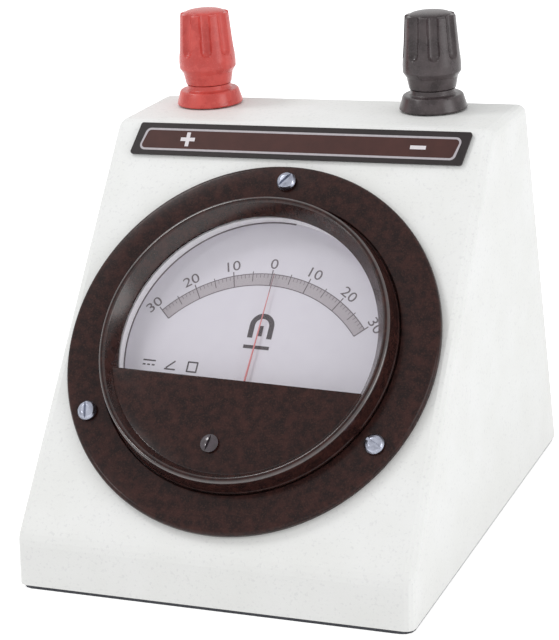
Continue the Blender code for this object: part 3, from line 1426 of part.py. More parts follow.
def post_profile():
    shoulder_bottom = COLLAR_HEIGHT + SEAT_GAP
    shoulder_top = shoulder_bottom + POST_SHOULDER_THICKNESS
    return [
        (0, POST_TOP),
        (POST_RADIUS - POST_CHAMFER, POST_TOP),
        (POST_RADIUS, POST_TOP - POST_CHAMFER),
        (POST_RADIUS, shoulder_top),
        (POST_SHOULDER_RADIUS, shoulder_top),
        (POST_SHOULDER_RADIUS, shoulder_bottom),
        (POST_RADIUS, shoulder_bottom),
        (POST_RADIUS, POST_BOTTOM),
        (0, POST_BOTTOM),
    ]


INSERT_INNER_RADIUS = POST_RADIUS + SEAT_GAP
INSERT_OUTER_RADIUS = INSERT_INNER_RADIUS + INSERT_WALL
INSERT_BOTTOM = COLLAR_HEIGHT + SEAT_GAP + POST_SHOULDER_THICKNESS + SEAT_GAP
INSERT_TOP = INSERT_BOTTOM + INSERT_LENGTH
KNOB_BOTTOM = COLLAR_HEIGHT + SEAT_GAP


def knob_profile():
    """Dome, rib tops, taper, band and skirt outside; insert seat and bore inside."""
    dome = []
    for index in range(KNOB_DOME_STEPS):
        lean = math.pi / 2 * (1 - index / KNOB_DOME_STEPS)
        dome.append((KNOB_DOME_RADIUS * math.cos(lean), KNOB_TOP_HEIGHT + KNOB_DOME_RISE * math.sin(lean)))
    dome[0] = (0, KNOB_TOP_HEIGHT + KNOB_DOME_RISE)
    seat = INSERT_OUTER_RADIUS + SEAT_GAP
    bore = POST_RADIUS + SEAT_GAP
    return [
        *dome,
        (KNOB_DOME_RADIUS, KNOB_TOP_HEIGHT),
        (KNOB_TOP_RADIUS - KNOB_EDGE, KNOB_TOP_HEIGHT),
        (KNOB_TOP_RADIUS, KNOB_TOP_HEIGHT - KNOB_EDGE),
        (KNOB_BAND_RADIUS, KNOB_BAND_TOP),
        (KNOB_BAND_RADIUS, KNOB_BAND_BOTTOM),
        (KNOB_WAIST_RADIUS, KNOB_WAIST_HEIGHT),
        (KNOB_SKIRT_RADIUS, KNOB_BOTTOM + KNOB_EDGE),
        (KNOB_SKIRT_RADIUS - KNOB_EDGE, KNOB_BOTTOM),
        (seat, KNOB_BOTTOM),
        (seat, INSERT_TOP + SEAT_GAP),
        (bore, INSERT_TOP + SEAT_GAP),
        (bore, KNOB_BORE_TOP),
        (0, KNOB_BORE_TOP),
    ]


def flute_cutters():
    """Round grooves that follow the knob's taper and run out at its band."""
    rise = KNOB_TOP_HEIGHT - KNOB_BAND_TOP
    lean = math.atan2(KNOB_BAND_RADIUS - KNOB_TOP_RADIUS, rise)
    length = rise + 2 * OVERRUN
    profile = [
        (0, length),
        (FLUTE_RADIUS, length),
        *arc((0, FLUTE_RADIUS), FLUTE_RADIUS, 0, -90, 2),
    ]
    profile[-1] = (0, 0)
    groove_radius = KNOB_BAND_RADIUS + FLUTE_RADIUS - FLUTE_DEPTH
    tools = []
    for index in range(KNOB_FLUTES):
        tool = turned(profile, TINY_SEGMENTS)
        place = Matrix.Translation((groove_radius, 0, FLUTE_BOTTOM - FLUTE_RADIUS / 2))
        tilt = Matrix.Rotation(-lean, 4, "Y")
        around = Matrix.Rotation(2 * math.pi * index / KNOB_FLUTES, 4, "Z")
        tool.transform(around @ place @ tilt)
        tools.append(tool)
    return joined(tools)


def make_terminal(colour, frame, plastic, facing):
    """Collar, post, insert, knob, tag and nut of one terminal."""
    piece(colour + "_collar", turned(collar_profile(), MEDIUM_SEGMENTS, ring=True), plastic, frame)
    post = piece(colour + "_post", turned(post_profile(), SMALL_SEGMENTS), "brass", frame)
    across = Matrix.Translation((0, 0, POST_HOLE_HEIGHT)) @ Matrix.Rotation(math.pi / 2, 4, "Y")
    reach = POST_RADIUS + OVERRUN
    hole = cylinder(POST_HOLE_RADIUS, -reach, reach, TINY_SEGMENTS, matrix=across)
    apply_tool(post, cutter(colour + "_cross_hole", hole, frame), "DIFFERENCE")

    rings = [circle(INSERT_OUTER_RADIUS, segments=MEDIUM_SEGMENTS), circle(INSERT_INNER_RADIUS)]
    piece(colour + "_insert", flat(rings, INSERT_BOTTOM, INSERT_TOP), "brass", frame)

    knob = piece(colour + "_knob", turned(knob_profile(), KNOB_SEGMENTS), plastic, frame)
    knob.rotation_euler = (0, 0, facing)
    flutes = cutter(colour + "_flutes", flute_cutters(), frame)
    flutes.rotation_euler = (0, 0, facing)
    apply_tool(knob, flutes, "DIFFERENCE")

    tag_bottom = -CASE_WALL - SEAT_GAP - TAG_THICKNESS
    solder_tag(colour + "_tag", POST_RADIUS + SEAT_GAP, "bright_zinc", frame, (0, 0, tag_bottom), math.pi)
    nut_bottom = tag_bottom - SEAT_GAP - STUD_NUT_THICKNESS
    hex_nut(
        colour + "_nut",
        STUD_NUT_ACROSS_FLATS,
        STUD_NUT_THICKNESS,
        POST_RADIUS + SEAT_GAP,
        "bright_zinc",
        frame,
        (0, 0, nut_bottom),
    )


make_terminal("red", red_axis, "red_plastic", math.radians(-67))
make_terminal("black", black_axis, "black_plastic", math.radians(-67))


# Leads inside the case, from each terminal's tag to a tag of the meter
def make_lead(colour, frame, side, finish):
    """Leaves each tag square to its face and bows away from the barrel between them."""
    bpy.context.view_layer.update()
    reach = TAG_LENGTH - TAG_EYE_INSET
    tag_bottom = -CASE_WALL - SEAT_GAP - TAG_THICKNESS - SEAT_GAP
    start = frame.matrix_world @ Vector((0, -reach, tag_bottom))
    tag_back = HOUSING_BACK - SEAT_GAP - TAG_THICKNESS - SEAT_GAP
    end = meter_frame.matrix_world @ Vector((side * METER_STUD_X, METER_STUD_Y + reach, tag_back))
    below = start - Vector((0, 0, LEAD_STRAIGHT))
    behind = end - PANEL_OUT * LEAD_STRAIGHT
    middle = (below + behind) / 2 + Vector((0, LEAD_BOW, 0))
    route = smooth_route([start, below, middle, behind, end], LEAD_STEPS)
    piece(colour + "_lead", tube(route, LEAD_RADIUS), finish)


make_lead("red", red_axis, -1, "red_sleeve")
make_lead("black", black_axis, 1, "black_sleeve")
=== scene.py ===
# %% [markdown]
# # A bench galvanometer, dressed over its solids
#
# The instrument is a round panel meter on the slope of an off-white desk case, with a red and a black screw
# terminal on top. Its solids are packed already, with real sizes and joints. This lesson gives them their
# looks: moulded plastics, plated screws, a printed dial behind glass and fluted knobs. A solid whose shape
# is right is kept and only painted. A round part that the camera sees closely is made again with more
# facets and softer edges, and rides on the body of the solid that it stands for.

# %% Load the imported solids
from math import asin, ceil, cos, pi, radians, sin, sqrt, tan, tau

import bmesh
import bpy
from mathutils import Matrix, Vector


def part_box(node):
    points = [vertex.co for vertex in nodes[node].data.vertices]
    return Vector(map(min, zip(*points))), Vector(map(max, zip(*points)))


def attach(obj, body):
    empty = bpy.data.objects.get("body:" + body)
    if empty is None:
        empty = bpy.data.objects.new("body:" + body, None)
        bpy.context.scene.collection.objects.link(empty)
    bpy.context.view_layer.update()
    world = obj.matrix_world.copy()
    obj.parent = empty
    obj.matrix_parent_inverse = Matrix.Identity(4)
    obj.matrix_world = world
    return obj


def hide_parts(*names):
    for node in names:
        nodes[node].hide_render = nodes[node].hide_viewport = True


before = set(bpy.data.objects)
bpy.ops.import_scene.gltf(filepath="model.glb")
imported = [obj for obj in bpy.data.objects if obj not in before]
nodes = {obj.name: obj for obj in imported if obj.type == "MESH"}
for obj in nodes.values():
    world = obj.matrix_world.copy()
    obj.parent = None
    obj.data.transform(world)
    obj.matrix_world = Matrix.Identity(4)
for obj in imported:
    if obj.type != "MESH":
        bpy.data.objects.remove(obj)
scene = bpy.context.scene
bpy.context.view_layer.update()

# %% [markdown]
# ## Where things are
#
# Everything on the slope is easiest to draw flat: x to the right, y up the slope and z out of the panel, in
# millimetres from the meter's middle. One matrix then lays a drawing on the real slope. The terminals are
# drawn in the same way from the top of the case. The matrices hold the scale of a millimetre, so the
# numbers below can be read against a ruler.

# %% Frames for the panel, the meter and the terminals
MM = 0.001
PANEL_FOOT = Vector((0, -55.15, 11.8)) * MM
PANEL_RISE, PANEL_LENGTH = 76.7, 100.6
METER_UP_SLOPE, METER_TURN = 46.9, radians(-1.6)
CASE_TOP = 88.5
TERMINALS = {"red": (-29.5, 27.95), "black": (25.6, 27.95)}
shift = Matrix.Translation


def spin(angle, axis="Z"):
    return Matrix.Rotation(angle, 4, axis)


right = Vector((1, 0, 0))
slope_up = Vector((0, sqrt(PANEL_LENGTH ** 2 - PANEL_RISE ** 2), PANEL_RISE)).normalized()
panel = Matrix((right, slope_up, right.cross(slope_up))).transposed().to_4x4() @ Matrix.Scale(MM, 4)
panel.translation = PANEL_FOOT + slope_up * METER_UP_SLOPE * MM
meter = panel @ spin(METER_TURN)


def terminal(colour, turn=0):
    """The frame of one terminal: on the case's top, in millimetres."""
    return shift(Vector((*TERMINALS[colour], CASE_TOP)) * MM) @ spin(turn) @ Matrix.Scale(MM, 4)


low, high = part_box("meter_cover")
print("meter's middle", [round(v / MM, 2) for v in meter.translation], "cover box",
      [round(v / MM, 1) for v in (*low, *high)])

# %% [markdown]
# ## The camera
#
# The photograph was taken from the front, on the right and a little above, with a long lens. The camera's
# place, tilt and focal length come from a perspective fitted to the case's corners, the meter's rim and its
# three screws. The frame is 559 x 640 points, so the lens follows from the height.

# %% Set the camera
CAMERA_AROUND, CAMERA_ABOVE, CAMERA_ROLL = map(radians, (22.94, 18.03, -3.61))
CAMERA_PLACE = Vector((172.5, -415.95, 192.5)) * MM
FOCAL_POINTS = 2103.8
PICTURE_HEIGHT = 640
SENSOR = 36
NEAREST_SEEN = 0.01


def in_scene(name, data):
    """An object of the scene that shows some data."""
    made = bpy.data.objects.new(name, data)
    scene.collection.objects.link(made)
    return made


away = Vector((
    sin(CAMERA_AROUND) * cos(CAMERA_ABOVE),
    -cos(CAMERA_AROUND) * cos(CAMERA_ABOVE),
    sin(CAMERA_ABOVE),
))
level = Vector((cos(CAMERA_AROUND), sin(CAMERA_AROUND), 0))
upright = away.cross(level)
across = level * cos(CAMERA_ROLL) + upright * sin(CAMERA_ROLL)
upwards = upright * cos(CAMERA_ROLL) - level * sin(CAMERA_ROLL)

eye = bpy.data.cameras.new("portrait_lens")
eye.sensor_fit = "VERTICAL"
eye.sensor_width = eye.sensor_height = SENSOR
eye.lens = FOCAL_POINTS * SENSOR / PICTURE_HEIGHT
eye.clip_start = NEAREST_SEEN
camera = in_scene("camera", eye)
camera.matrix_world = Matrix((across, upwards, away)).transposed().to_4x4()
camera.location = CAMERA_PLACE
scene.camera = camera
print("lens in mm", round(eye.lens, 1))

# %% [markdown]
# ## Node trees written as arithmetic
#
# A finish and a Geometry Nodes plan are both trees of small nodes. Wiring each one by hand hides what is
# worked out, so two classes are used. `Bench` lays any node with one method, from its type, its sockets and
# its settings. `Amount` stands for one socket, and arithmetic on it lays Math nodes: `1 - wear * 0.3` can
# be read as it is. Colours never pass through a Math node, which would turn them grey: they go through
# `blend`.

# %% The two classes
def operator(operation, turned_round=False):
    """A method that lays a Math node."""
    def lay(self, *others):
        terms = (*others, self) if turned_round else (self, *others)
        return self.bench.node("ShaderNodeMath", dict(enumerate(terms)), operation=operation)
    return lay


class Amount:
    """A socket that can be reckoned with."""

    def __init__(self, bench, socket):
        self.bench = bench
        self.socket = socket

    def __getitem__(self, name):
        return Amount(self.bench, self.socket.node.outputs[name])

    __add__ = __radd__ = operator("ADD")
    __mul__ = operator("MULTIPLY")
    __sub__, __rsub__ = operator("SUBTRACT"), operator("SUBTRACT", True)
    __truediv__, __rtruediv__ = operator("DIVIDE"), operator("DIVIDE", True)
    __pow__, __gt__, __lt__ = operator("POWER"), operator("GREATER_THAN"), operator("LESS_THAN")
    sine, cosine, angle_with = operator("SINE"), operator("COSINE"), operator("ARCTAN2")
    at_least, soft_least, square_root = operator("MAXIMUM"), operator("SMOOTH_MIN"), operator("SQRT")
    wrapped, folded = operator("WRAP"), operator("PINGPONG")

    def root(self):
        return self.at_least(0).square_root()

    def between(self, start, end):
        """0 below start, 1 above end, with soft ends."""
        ends = {"Value": self, "From Min": start, "From Max": end}
        return self.bench.node("ShaderNodeMapRange", ends, interpolation_type="SMOOTHSTEP")


class Bench:
    """A node tree in the making."""

    def __init__(self, tree):
        self.tree = tree
        tree.nodes.clear()

    def node(self, kind, sockets=(), output=0, **settings):
        made = self.tree.nodes.new(kind)
        for name, value in settings.items():
            setattr(made, name, value)
        for name, value in dict(sockets).items():
            if isinstance(value, Amount):
                self.tree.links.new(value.socket, made.inputs[name])
            else:
                made.inputs[name].default_value = value
        return Amount(self, made.outputs[output]) if made.outputs else None

    def place(self):
        """The point on the piece, in metres."""
        return self.node("ShaderNodeTexCoord")["Object"]

    def parts_of(self, vector):
        return self.node("ShaderNodeSeparateXYZ", {"Vector": vector})

    def point(self, x, y, z=0):
        return self.node("ShaderNodeCombineXYZ", {"X": x, "Y": y, "Z": z})

    def vector(self, operation, one, two, output="Vector"):
        return self.node("ShaderNodeVectorMath", {0: one, 1: two}, output, operation=operation)

    def grain(self, size, detail=3.0, rough=0.55):
        """Noise whose lumps are about size millimetres across."""
        return self.node("ShaderNodeTexNoise", {
            "Vector": self.place(), "Scale": 1 / (size * MM), "Detail": detail, "Roughness": rough,
        })

    def blend(self, share, *colours):
        """From the first colour to the second. Each is a socket, or red, green and blue in 0 to 255."""
        first, second = (c if isinstance(c, Amount) else paint(*c) for c in colours)
        return self.node("ShaderNodeMix", {"Factor": share, 6: first, 7: second}, 2, data_type="RGBA")

    def bumps(self, height, strength, depth):
        """Height in 0 to 1, depth in millimetres."""
        return self.node("ShaderNodeBump", {"Height": height, "Strength": strength, "Distance": depth * MM})

    def seen(self):
        """1 on rays from the camera, off a mirror or through glass, 0 on rays that only light the scene."""
        path = self.node("ShaderNodeLightPath")
        return path["Is Camera Ray"].at_least(path["Is Glossy Ray"]).at_least(path["Is Transmission Ray"])


def span(x, y):
    """How far a point is from the axis."""
    return (x * x + y * y).root()


def paint(*colour):
    """A colour as it is read off the picture, in 0 to 255, made linear for the shader."""
    shares = [value / 255 for value in colour]
    return (*[s / 12.92 if s <= 0.04045 else ((s + 0.055) / 1.055) ** 2.4 for s in shares], 1)


def finish(name, lay, *recipe, **plain):
    """A material: lay makes the sockets that change over the surface, plain names those that don't."""
    material = bpy.data.materials.new(name)
    material.use_nodes = True
    bench = Bench(material.node_tree)
    sockets = {label.replace("_", " "): value for label, value in plain.items()}
    sockets.update(lay(bench, *recipe))
    shader = bench.node("ShaderNodeBsdfPrincipled", sockets)
    bench.node("ShaderNodeOutputMaterial", {"Surface": shader})
    print("finish", name, "nodes", len(bench.tree.nodes))
    return material


def in_frame(bench, place):
    """The point on the piece as x, y and z of a frame, in millimetres."""
    offset = bench.vector("SUBTRACT", bench.place(), place.translation)
    axes = [axis / MM for axis in place.to_3x3().normalized().col]
    return [bench.vector("DOT_PRODUCT", offset, axis, "Value") for axis in axes]


print("warm white as the shader reads it", [round(v, 3) for v in paint(238, 238, 233)])

# %% [markdown]
# ## The case's paint
#
# The case is sprayed with a fine textured off-white. Seen closely it is neither smooth nor even: small lumps
# catch the light, a few darker specks sit in the coat, and the coat is a little darker towards the foot.
# Three grains of different size make that, and the height above the floor makes the darker foot. The lumps
# only move the normal, so the outline stays crisp.

# %% Off-white textured paint
DARKER_UP_TO = 0.03


def lay_case_paint(bench):
    lumps = bench.grain(0.55, 2.0)
    cloud = bench.grain(14, 2.0)
    speck = bench.grain(0.7, 2.0).between(0.56, 0.72)
    height = bench.parts_of(bench.place())["Z"]
    # Darker towards the foot: near the floor the coat blends a quarter of the way to a darker off-white.
    foot = 1 - height.between(0.0, DARKER_UP_TO)
    coat = bench.blend(cloud.between(0.3, 0.7), (239, 240, 239), (235, 236, 234))
    darker_low = bench.blend(foot * 0.25, coat, (224, 223, 220))
    return {
        "Base Color": bench.blend(speck * 0.30, darker_low, (206, 206, 208)),
        "Roughness": 0.50 + lumps * 0.16,
        "Normal": bench.bumps(lumps, 0.5, 0.06),
    }


case_paint = finish("case_paint", lay_case_paint, IOR=1.5)

# %% [markdown]
# ## Dark moulded plastic
#
# The flange, the bezel and the shield of the meter are pressed from a dark brown phenolic. Wood flour in it
# shows as a faint red-brown mottle, and years of wiping leave it half glossy. The crest of the bezel is
# rubbed most, so a glossy coat is laid on it, and a third as much on the cone inside it. Both are found by
# distance from the meter's axis and height above the panel. The terminals are a softer plastic with a waxy
# sheen, and their colour sits a little unevenly.

# %% Plastics
CREST_R, CREST_H = 32.7, 6.8
WINDOW_R, WINDOW_EDGE = 29.4, 3.5
CONE_SLOPE, CONE_END, CONE_SHARE = 0.643, 31.8, 0.35


def lay_phenolic(bench):
    mottle = bench.grain(2.2, 5.0, 0.7)
    flour = bench.grain(0.35, 2.0)
    wiped = bench.grain(9, 2.0)
    ground = bench.blend(mottle.between(0.36, 0.68), (33, 20, 20), (58, 33, 30))
    x, y, height = in_frame(bench, meter)
    radius = span(x, y)
    crest = radius.between(CREST_R - 0.6, CREST_R - 0.3) * height.between(CREST_H - 0.9, CREST_H - 0.4)
    inner_wall = (height - WINDOW_EDGE) * CONE_SLOPE + (WINDOW_R - 0.2)
    cone = (radius > inner_wall) * (radius < CONE_END) * (height > WINDOW_EDGE - 0.1)
    return {
        "Base Color": bench.blend(flour.between(0.5, 0.72) * 0.5, ground, (76, 50, 42)),
        "Roughness": 0.09 + wiped * 0.14 + flour * 0.05,
        "Coat Weight": crest.at_least(cone * CONE_SHARE),
        "Normal": bench.bumps(flour, 0.10, 0.02),
    }


def lay_waxy(bench, dark, plain, pale):
    cloud = bench.grain(3.5)
    skin = bench.grain(0.4, 2.0)
    ground = bench.blend(cloud.between(0.3, 0.7), dark, plain)
    return {
        "Base Color": bench.blend(skin.between(0.5, 0.8) * 0.4, ground, pale),
        "Roughness": 0.20 + cloud * 0.16,
        "Normal": bench.bumps(skin, 0.12, 0.03),
    }


phenolic = finish("dark_phenolic", lay_phenolic, Specular_IOR_Level=0.17, Coat_Roughness=0.14, Coat_IOR=1.75)
red_plastic = finish(
    "red_terminal_plastic", lay_waxy, (190, 66, 60), (210, 84, 77), (222, 114, 104), Specular_IOR_Level=0.42)
black_plastic = finish(
    "black_terminal_plastic", lay_waxy, (50, 42, 43), (76, 67, 68), (106, 94, 102), Specular_IOR_Level=0.42)


def lay_polished(bench):
    cloud = bench.grain(1.2)
    return {
        "Base Color": bench.blend(cloud.between(0.3, 0.7), (40, 28, 34), (60, 46, 56)),
        "Roughness": 0.14 + cloud * 0.10,
    }


adjuster_plastic = finish("adjuster_plastic", lay_polished, Specular_IOR_Level=0.8)
red_sleeve = finish("red_wire_sleeve", lay_waxy, (160, 40, 36), (180, 50, 44), (196, 84, 76))
black_sleeve = finish("black_wire_sleeve", lay_waxy, (30, 28, 30), (40, 38, 40), (60, 58, 60))

# %% [markdown]
# ## Metals
#
# The screws are zinc plated, bright with a faint blue cast. The movement inside is brass, aluminium, iron
# and steel. One recipe serves them all: a cloud of slightly different tones, a roughness that wanders, and
# fine pits that break up the reflections.

# %% Metals
def lay_metal(bench, bright, dull, roughness):
    cloud = bench.grain(1.6, 4.0, 0.65)
    pits = bench.grain(0.18, 2.0)
    return {
        "Base Color": bench.blend(cloud.between(0.35, 0.7), bright, dull),
        "Roughness": roughness + cloud * 0.18 + pits * 0.06,
        "Normal": bench.bumps(pits, 0.15, 0.01),
    }


def metal(name, *recipe):
    return finish(name, lay_metal, *recipe, Metallic=1.0)


zinc = metal("zinc_plate", (172, 176, 190), (140, 143, 156), 0.16)
brass = metal("turned_brass", (216, 182, 112), (198, 162, 96), 0.22)
aluminium = metal("aluminium", (214, 216, 218), (188, 190, 194), 0.30)
steel = metal("polished_steel", (186, 188, 192), (160, 162, 168), 0.16)
soft_iron = metal("soft_iron", (132, 130, 130), (104, 100, 98), 0.38)
magnet_alloy = metal("magnet_alloy", (140, 137, 134), (108, 106, 106), 0.46)
bronze = metal("spring_bronze", (206, 150, 108), (176, 122, 84), 0.26)

# %% [markdown]
# ## The coil's wire
#
# The coil is some hundred turns of enamelled copper round the former. At this size the turns are drawn as
# fine ridges in the finish: a wave in both colour and height.

# %% Enamelled copper
WAVES = 1600.0


def lay_winding(bench):
    sockets = {"Vector": bench.place(), "Scale": WAVES, "Distortion": 1.0, "Detail": 1.0}
    turns = bench.node("ShaderNodeTexWave", sockets, bands_direction="X")
    return {
        "Base Color": bench.blend(turns, (120, 52, 30), (206, 112, 66)),
        "Roughness": 0.28 + turns * 0.1,
        "Normal": bench.bumps(turns, 0.6, 0.03),
    }


winding = finish("enamelled_copper", lay_winding, Metallic=0.85)

# %% [markdown]
# ## Board, lacquer, dial paint and inks
#
# What is left is flat: the fibre board under the case, the lacquered label, the dial's pale lilac-grey
# paint and the inks printed on it. Even a flat colour has a tooth: board shows fibres, lacquer a little
# dust, and the dial the grain of a matt spray. The dial's turned-up rim has a painted highlight: it is
# painted paler for the light it catches, so the dial's paint asks how far a point is from the meter's axis.

# %% Flat finishes
def lay_flat(bench, plain, other, size, roughness, tooth):
    cloud = bench.grain(size, 4.0, 0.6)
    dust = bench.grain(0.22, 2.0)
    return {
        "Base Color": bench.blend(cloud, plain, other),
        "Roughness": roughness + dust * 0.12,
        "Normal": bench.bumps(dust, tooth, 0.02),
    }


def lacquer(name, *recipe):
    return finish(name, lay_flat, *recipe, 0.30, 0.12, Specular_IOR_Level=0.15)


board = finish("fibre_board", lay_flat, (66, 67, 74), (40, 41, 46), 1.2, 0.6, 0.4)
label_lacquer = lacquer("label_lacquer", (44, 40, 41), (56, 50, 50), 1.8)
label_field = lacquer("label_field", (60, 40, 38), (84, 52, 48), 4.0)
RIM_HIGHLIGHT_FROM = 30.05


def lay_dial(bench):
    flat = lay_flat(bench, (218, 215, 224), (210, 206, 216), 3.0, 0.56, 0.10)
    x, y = in_frame(bench, meter)[:2]
    # Painted highlight: from this radius outwards the dial's turned-up rim is painted paler, for the light
    # that it catches.
    rim = span(x, y) > RIM_HIGHLIGHT_FROM
    flat["Base Color"] = bench.blend(rim, flat["Base Color"], (244, 242, 246))
    return flat


dial_paint = finish("dial_paint", lay_dial)


def ink(name, *recipe):
    return finish(name, lay_flat, *recipe, 0.05)


dark_ink = ink("dark_ink", (60, 54, 60), (80, 72, 78), 0.5, 0.5)
soft_ink = ink("soft_ink", (96, 88, 94), (116, 108, 114), 0.5, 0.5)
band_ink = ink("band_ink", (180, 173, 179), (168, 161, 168), 0.6, 0.5)
silver_ink = ink("silver_ink", (190, 184, 188), (160, 154, 160), 0.8, 0.36)
white_ink = ink("white_ink", (226, 221, 224), (210, 205, 210), 0.8, 0.4)

# %% [markdown]
# ## The needle and the glass
#
# The needle is a fine tube, lacquered red up to the scale and left dark at its tip, so its colour depends
# on how far a point is from the pivot. The window is a clear pane, which adds only its reflection to what
# is behind it. So its finish is a mirror whose opacity is the share that glass reflects: little when seen
# square on, more at a slant. Facing says how slanted the view is, the same from both sides of a face.

# %% Needle lacquer and window glass
PIVOT = (0, -14.0)
TIP_FROM, TIP_FADE = 26.5, 1.2
SQUARE_ON, AT_A_SLANT = 0.012, 0.6


def lay_needle(bench):
    pivot = meter @ Vector((*PIVOT, 0))
    along = bench.vector("DISTANCE", bench.place(), pivot, "Value")
    tip = along.between(TIP_FROM * MM, (TIP_FROM + TIP_FADE) * MM)
    cloud = bench.grain(0.6)
    stem = bench.blend(cloud, (216, 138, 140), (198, 116, 120))
    return {
        "Base Color": bench.blend(tip, stem, (140, 110, 116)),
        "Roughness": 0.4 + cloud * 0.2,
    }


def lay_pane(bench):
    slant = bench.node("ShaderNodeLayerWeight", {"Blend": 0.5})["Facing"]
    smear = bench.grain(11)
    return {"Alpha": SQUARE_ON + slant ** 5.0 * AT_A_SLANT, "Roughness": 0.02 + smear * 0.05}


needle_lacquer = finish("needle_lacquer", lay_needle)
pane = finish("clear_pane", lay_pane, Base_Color=(1, 1, 1, 1), Metallic=1.0)

# %% [markdown]
# ## Turning round parts
#
# Nearly everything here is turned or moulded round an axis, so one helper turns a profile of radius and
# height. Real edges are never sharp. `eased` rounds each corner of a profile by its own radius, which gives
# the thin bright line that tells the eye a part is solid. `spaced` adds points along long straights, for
# parts that are grooved afterwards.

# %% Profiles and turned meshes
SEAM, SPECK = 0.001, 0.0001


def eased(corners, steps=5, closed=True):
    """Rounds the corners (radius, height, easing) of a profile."""
    points = []
    for index, (r, z, ease) in enumerate(corners):
        here = Vector((r, z))
        end = not closed and index in (0, len(corners) - 1)
        if not ease or end:
            points.append(here)
            continue
        before = Vector(corners[index - 1][:2]) - here
        after = Vector(corners[(index + 1) % len(corners)][:2]) - here
        half = before.angle(after) / 2
        reach = min(ease / tan(half), before.length * 0.49, after.length * 0.49)
        middle = here + (before.normalized() + after.normalized()).normalized() * reach / cos(half)
        start = here + before.normalized() * reach - middle
        sweep = start.angle_signed(here + after.normalized() * reach - middle)
        for step in range(steps + 1):
            points.append(middle + Matrix.Rotation(-sweep * step / steps, 2) @ start)
    return points


def spaced(points, gap):
    """Adds points so that none are further apart than gap."""
    points = [Vector(point) for point in points]
    made = []
    for here, there in zip(points, points[1:]):
        count = max(1, ceil((there - here).length / gap))
        made += [here.lerp(there, step / count) for step in range(count)]
    return [*made, points[-1]]


def as_mesh(shape):
    mesh = bpy.data.meshes.new("mesh")
    shape.to_mesh(mesh)
    shape.free()
    return mesh


def tidy(shape):
    """Closes seams, turns faces outwards and returns a mesh."""
    bmesh.ops.remove_doubles(shape, verts=shape.verts, dist=SEAM)
    bmesh.ops.recalc_face_normals(shape, faces=shape.faces)
    return as_mesh(shape)


def merged(mesh):
    """A mesh without seams and slivers."""
    shape = bmesh.new()
    shape.from_mesh(mesh)
    return tidy(shape)


def wall(shape, one, two, closed=True):
    """Faces between two rows of equally many points."""
    for k in range(len(one) - (not closed)):
        j = (k + 1) % len(one)
        shape.faces.new((one[k], one[j], two[j], two[k]))


def turned(points, steps=128, ring=True):
    """Turns a profile round z. A ring's profile is closed; any other starts and ends on the axis."""
    shape = bmesh.new()
    loops = [
        [shape.verts.new((r * cos(tau * k / steps), r * sin(tau * k / steps), z)) for k in range(steps)]
        for r, z in map(Vector, points)
    ]
    for one, two in zip(loops, loops[1:] + loops[:ring]):
        wall(shape, one, two)
    bmesh.ops.remove_doubles(shape, verts=shape.verts, dist=SPECK)
    bmesh.ops.dissolve_degenerate(shape, edges=shape.edges, dist=SPECK)
    return tidy(shape)


print("a bevelled square has", len(eased([(1, 0, .1), (2, 0, .1), (2, 1, .1), (1, 1, .1)])), "points")

# %% [markdown]
# ## Placing a piece
#
# A finished piece is an object at the world's origin, with its place in its mesh, as the solids have it.
# `piece` lays a drawing in its frame, smooths the faces but keeps real edges, gives it its finish, puts it
# on the body that it rides on and hides the solids that it stands for.

# %% Helpers that join, cut and hand over
EDGE = radians(32)


def joined(meshes):
    shape = bmesh.new()
    for mesh in meshes:
        shape.from_mesh(mesh)
    return as_mesh(shape)


def plain_mesh(holder):
    """The mesh that an object shows. The object itself is then dropped."""
    mesh = bpy.data.meshes.new_from_object(holder.evaluated_get(bpy.context.evaluated_depsgraph_get()))
    holder.modifiers.clear()
    bpy.data.objects.remove(holder)
    return mesh


def cut(mesh, tool, operation="DIFFERENCE"):
    """Cuts a tool out of a mesh, or adds it to the mesh."""
    blank, helper = in_scene("blank", mesh), in_scene("tool", tool)
    boolean = blank.modifiers.new("tool", "BOOLEAN")
    boolean.object, boolean.operation, boolean.solver = helper, operation, "EXACT"
    made = plain_mesh(blank)
    bpy.data.objects.remove(helper)
    return made


def piece(name, mesh, place, coat, stands_for=(), body="instrument", smooth=True):
    mesh = mesh.copy()
    mesh.transform(place)
    if smooth:
        mesh.shade_smooth()
        mesh.set_sharp_from_angle(angle=EDGE)
    mesh.materials.clear()
    mesh.materials.append(coat)
    made = in_scene(name, mesh)
    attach(made, body)
    if stands_for:
        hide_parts(*stands_for)
    print(name, "faces", len(mesh.polygons), "rides on", body)


def rod(radius, low, high, x=0, y=0, steps=32):
    """An upright cylinder, for posts and for drilling."""
    mesh = turned([(0, low), (radius, low), (radius, high), (0, high)], steps, False)
    mesh.transform(shift((x, y, 0)))
    return mesh


def block(size, middle=(0, 0, 0), turn=0):
    shape = bmesh.new()
    place = shift(middle) @ spin(turn) @ Matrix.Diagonal((*size, 1))
    bmesh.ops.create_cube(shape, size=1, matrix=place)
    return tidy(shape)


print("a rod has", len(rod(1, 0, 2).polygons), "faces and a block", len(block((1, 1, 1)).polygons))

# %% [markdown]
# ## The meter's body
#
# The flange and the barrel behind it are one moulding. The flange lies on the panel with a rounded outer
# edge, and three plain holes take its screws. Inside the barrel stand two short bosses for the movement and
# two pillars for the dial, and two studs leave through its floor.

# %% Turn the body and drill it
FINE = 192
FLANGE_R, SEAT_R, BARREL_R, INNER_R = 42.4, 33.9, 33.0, 30.85
FLANGE_T, SEAT_H, GAP = 2.2, 1.1, 0.3
FLOOR, BACK = -23.5, -26.0
SCREW_RING = 38.25
SCREW_ANGLES = [90, 210, 330]
BOSS_R, PILLAR_R, PILLAR_TOP = 2.4, 2.2, -2.1
BOSS_X, PILLAR_X, STUD_X, STUD_Y = 11.3, 19.49, 15.0, 9.0
TAP_R, BOSS_TAP_END, PILLAR_TAP_END = 1.15, -25.3, -7.3
SCREW_HOLE_R, STUD_HOLE_R = 1.55, 2.3

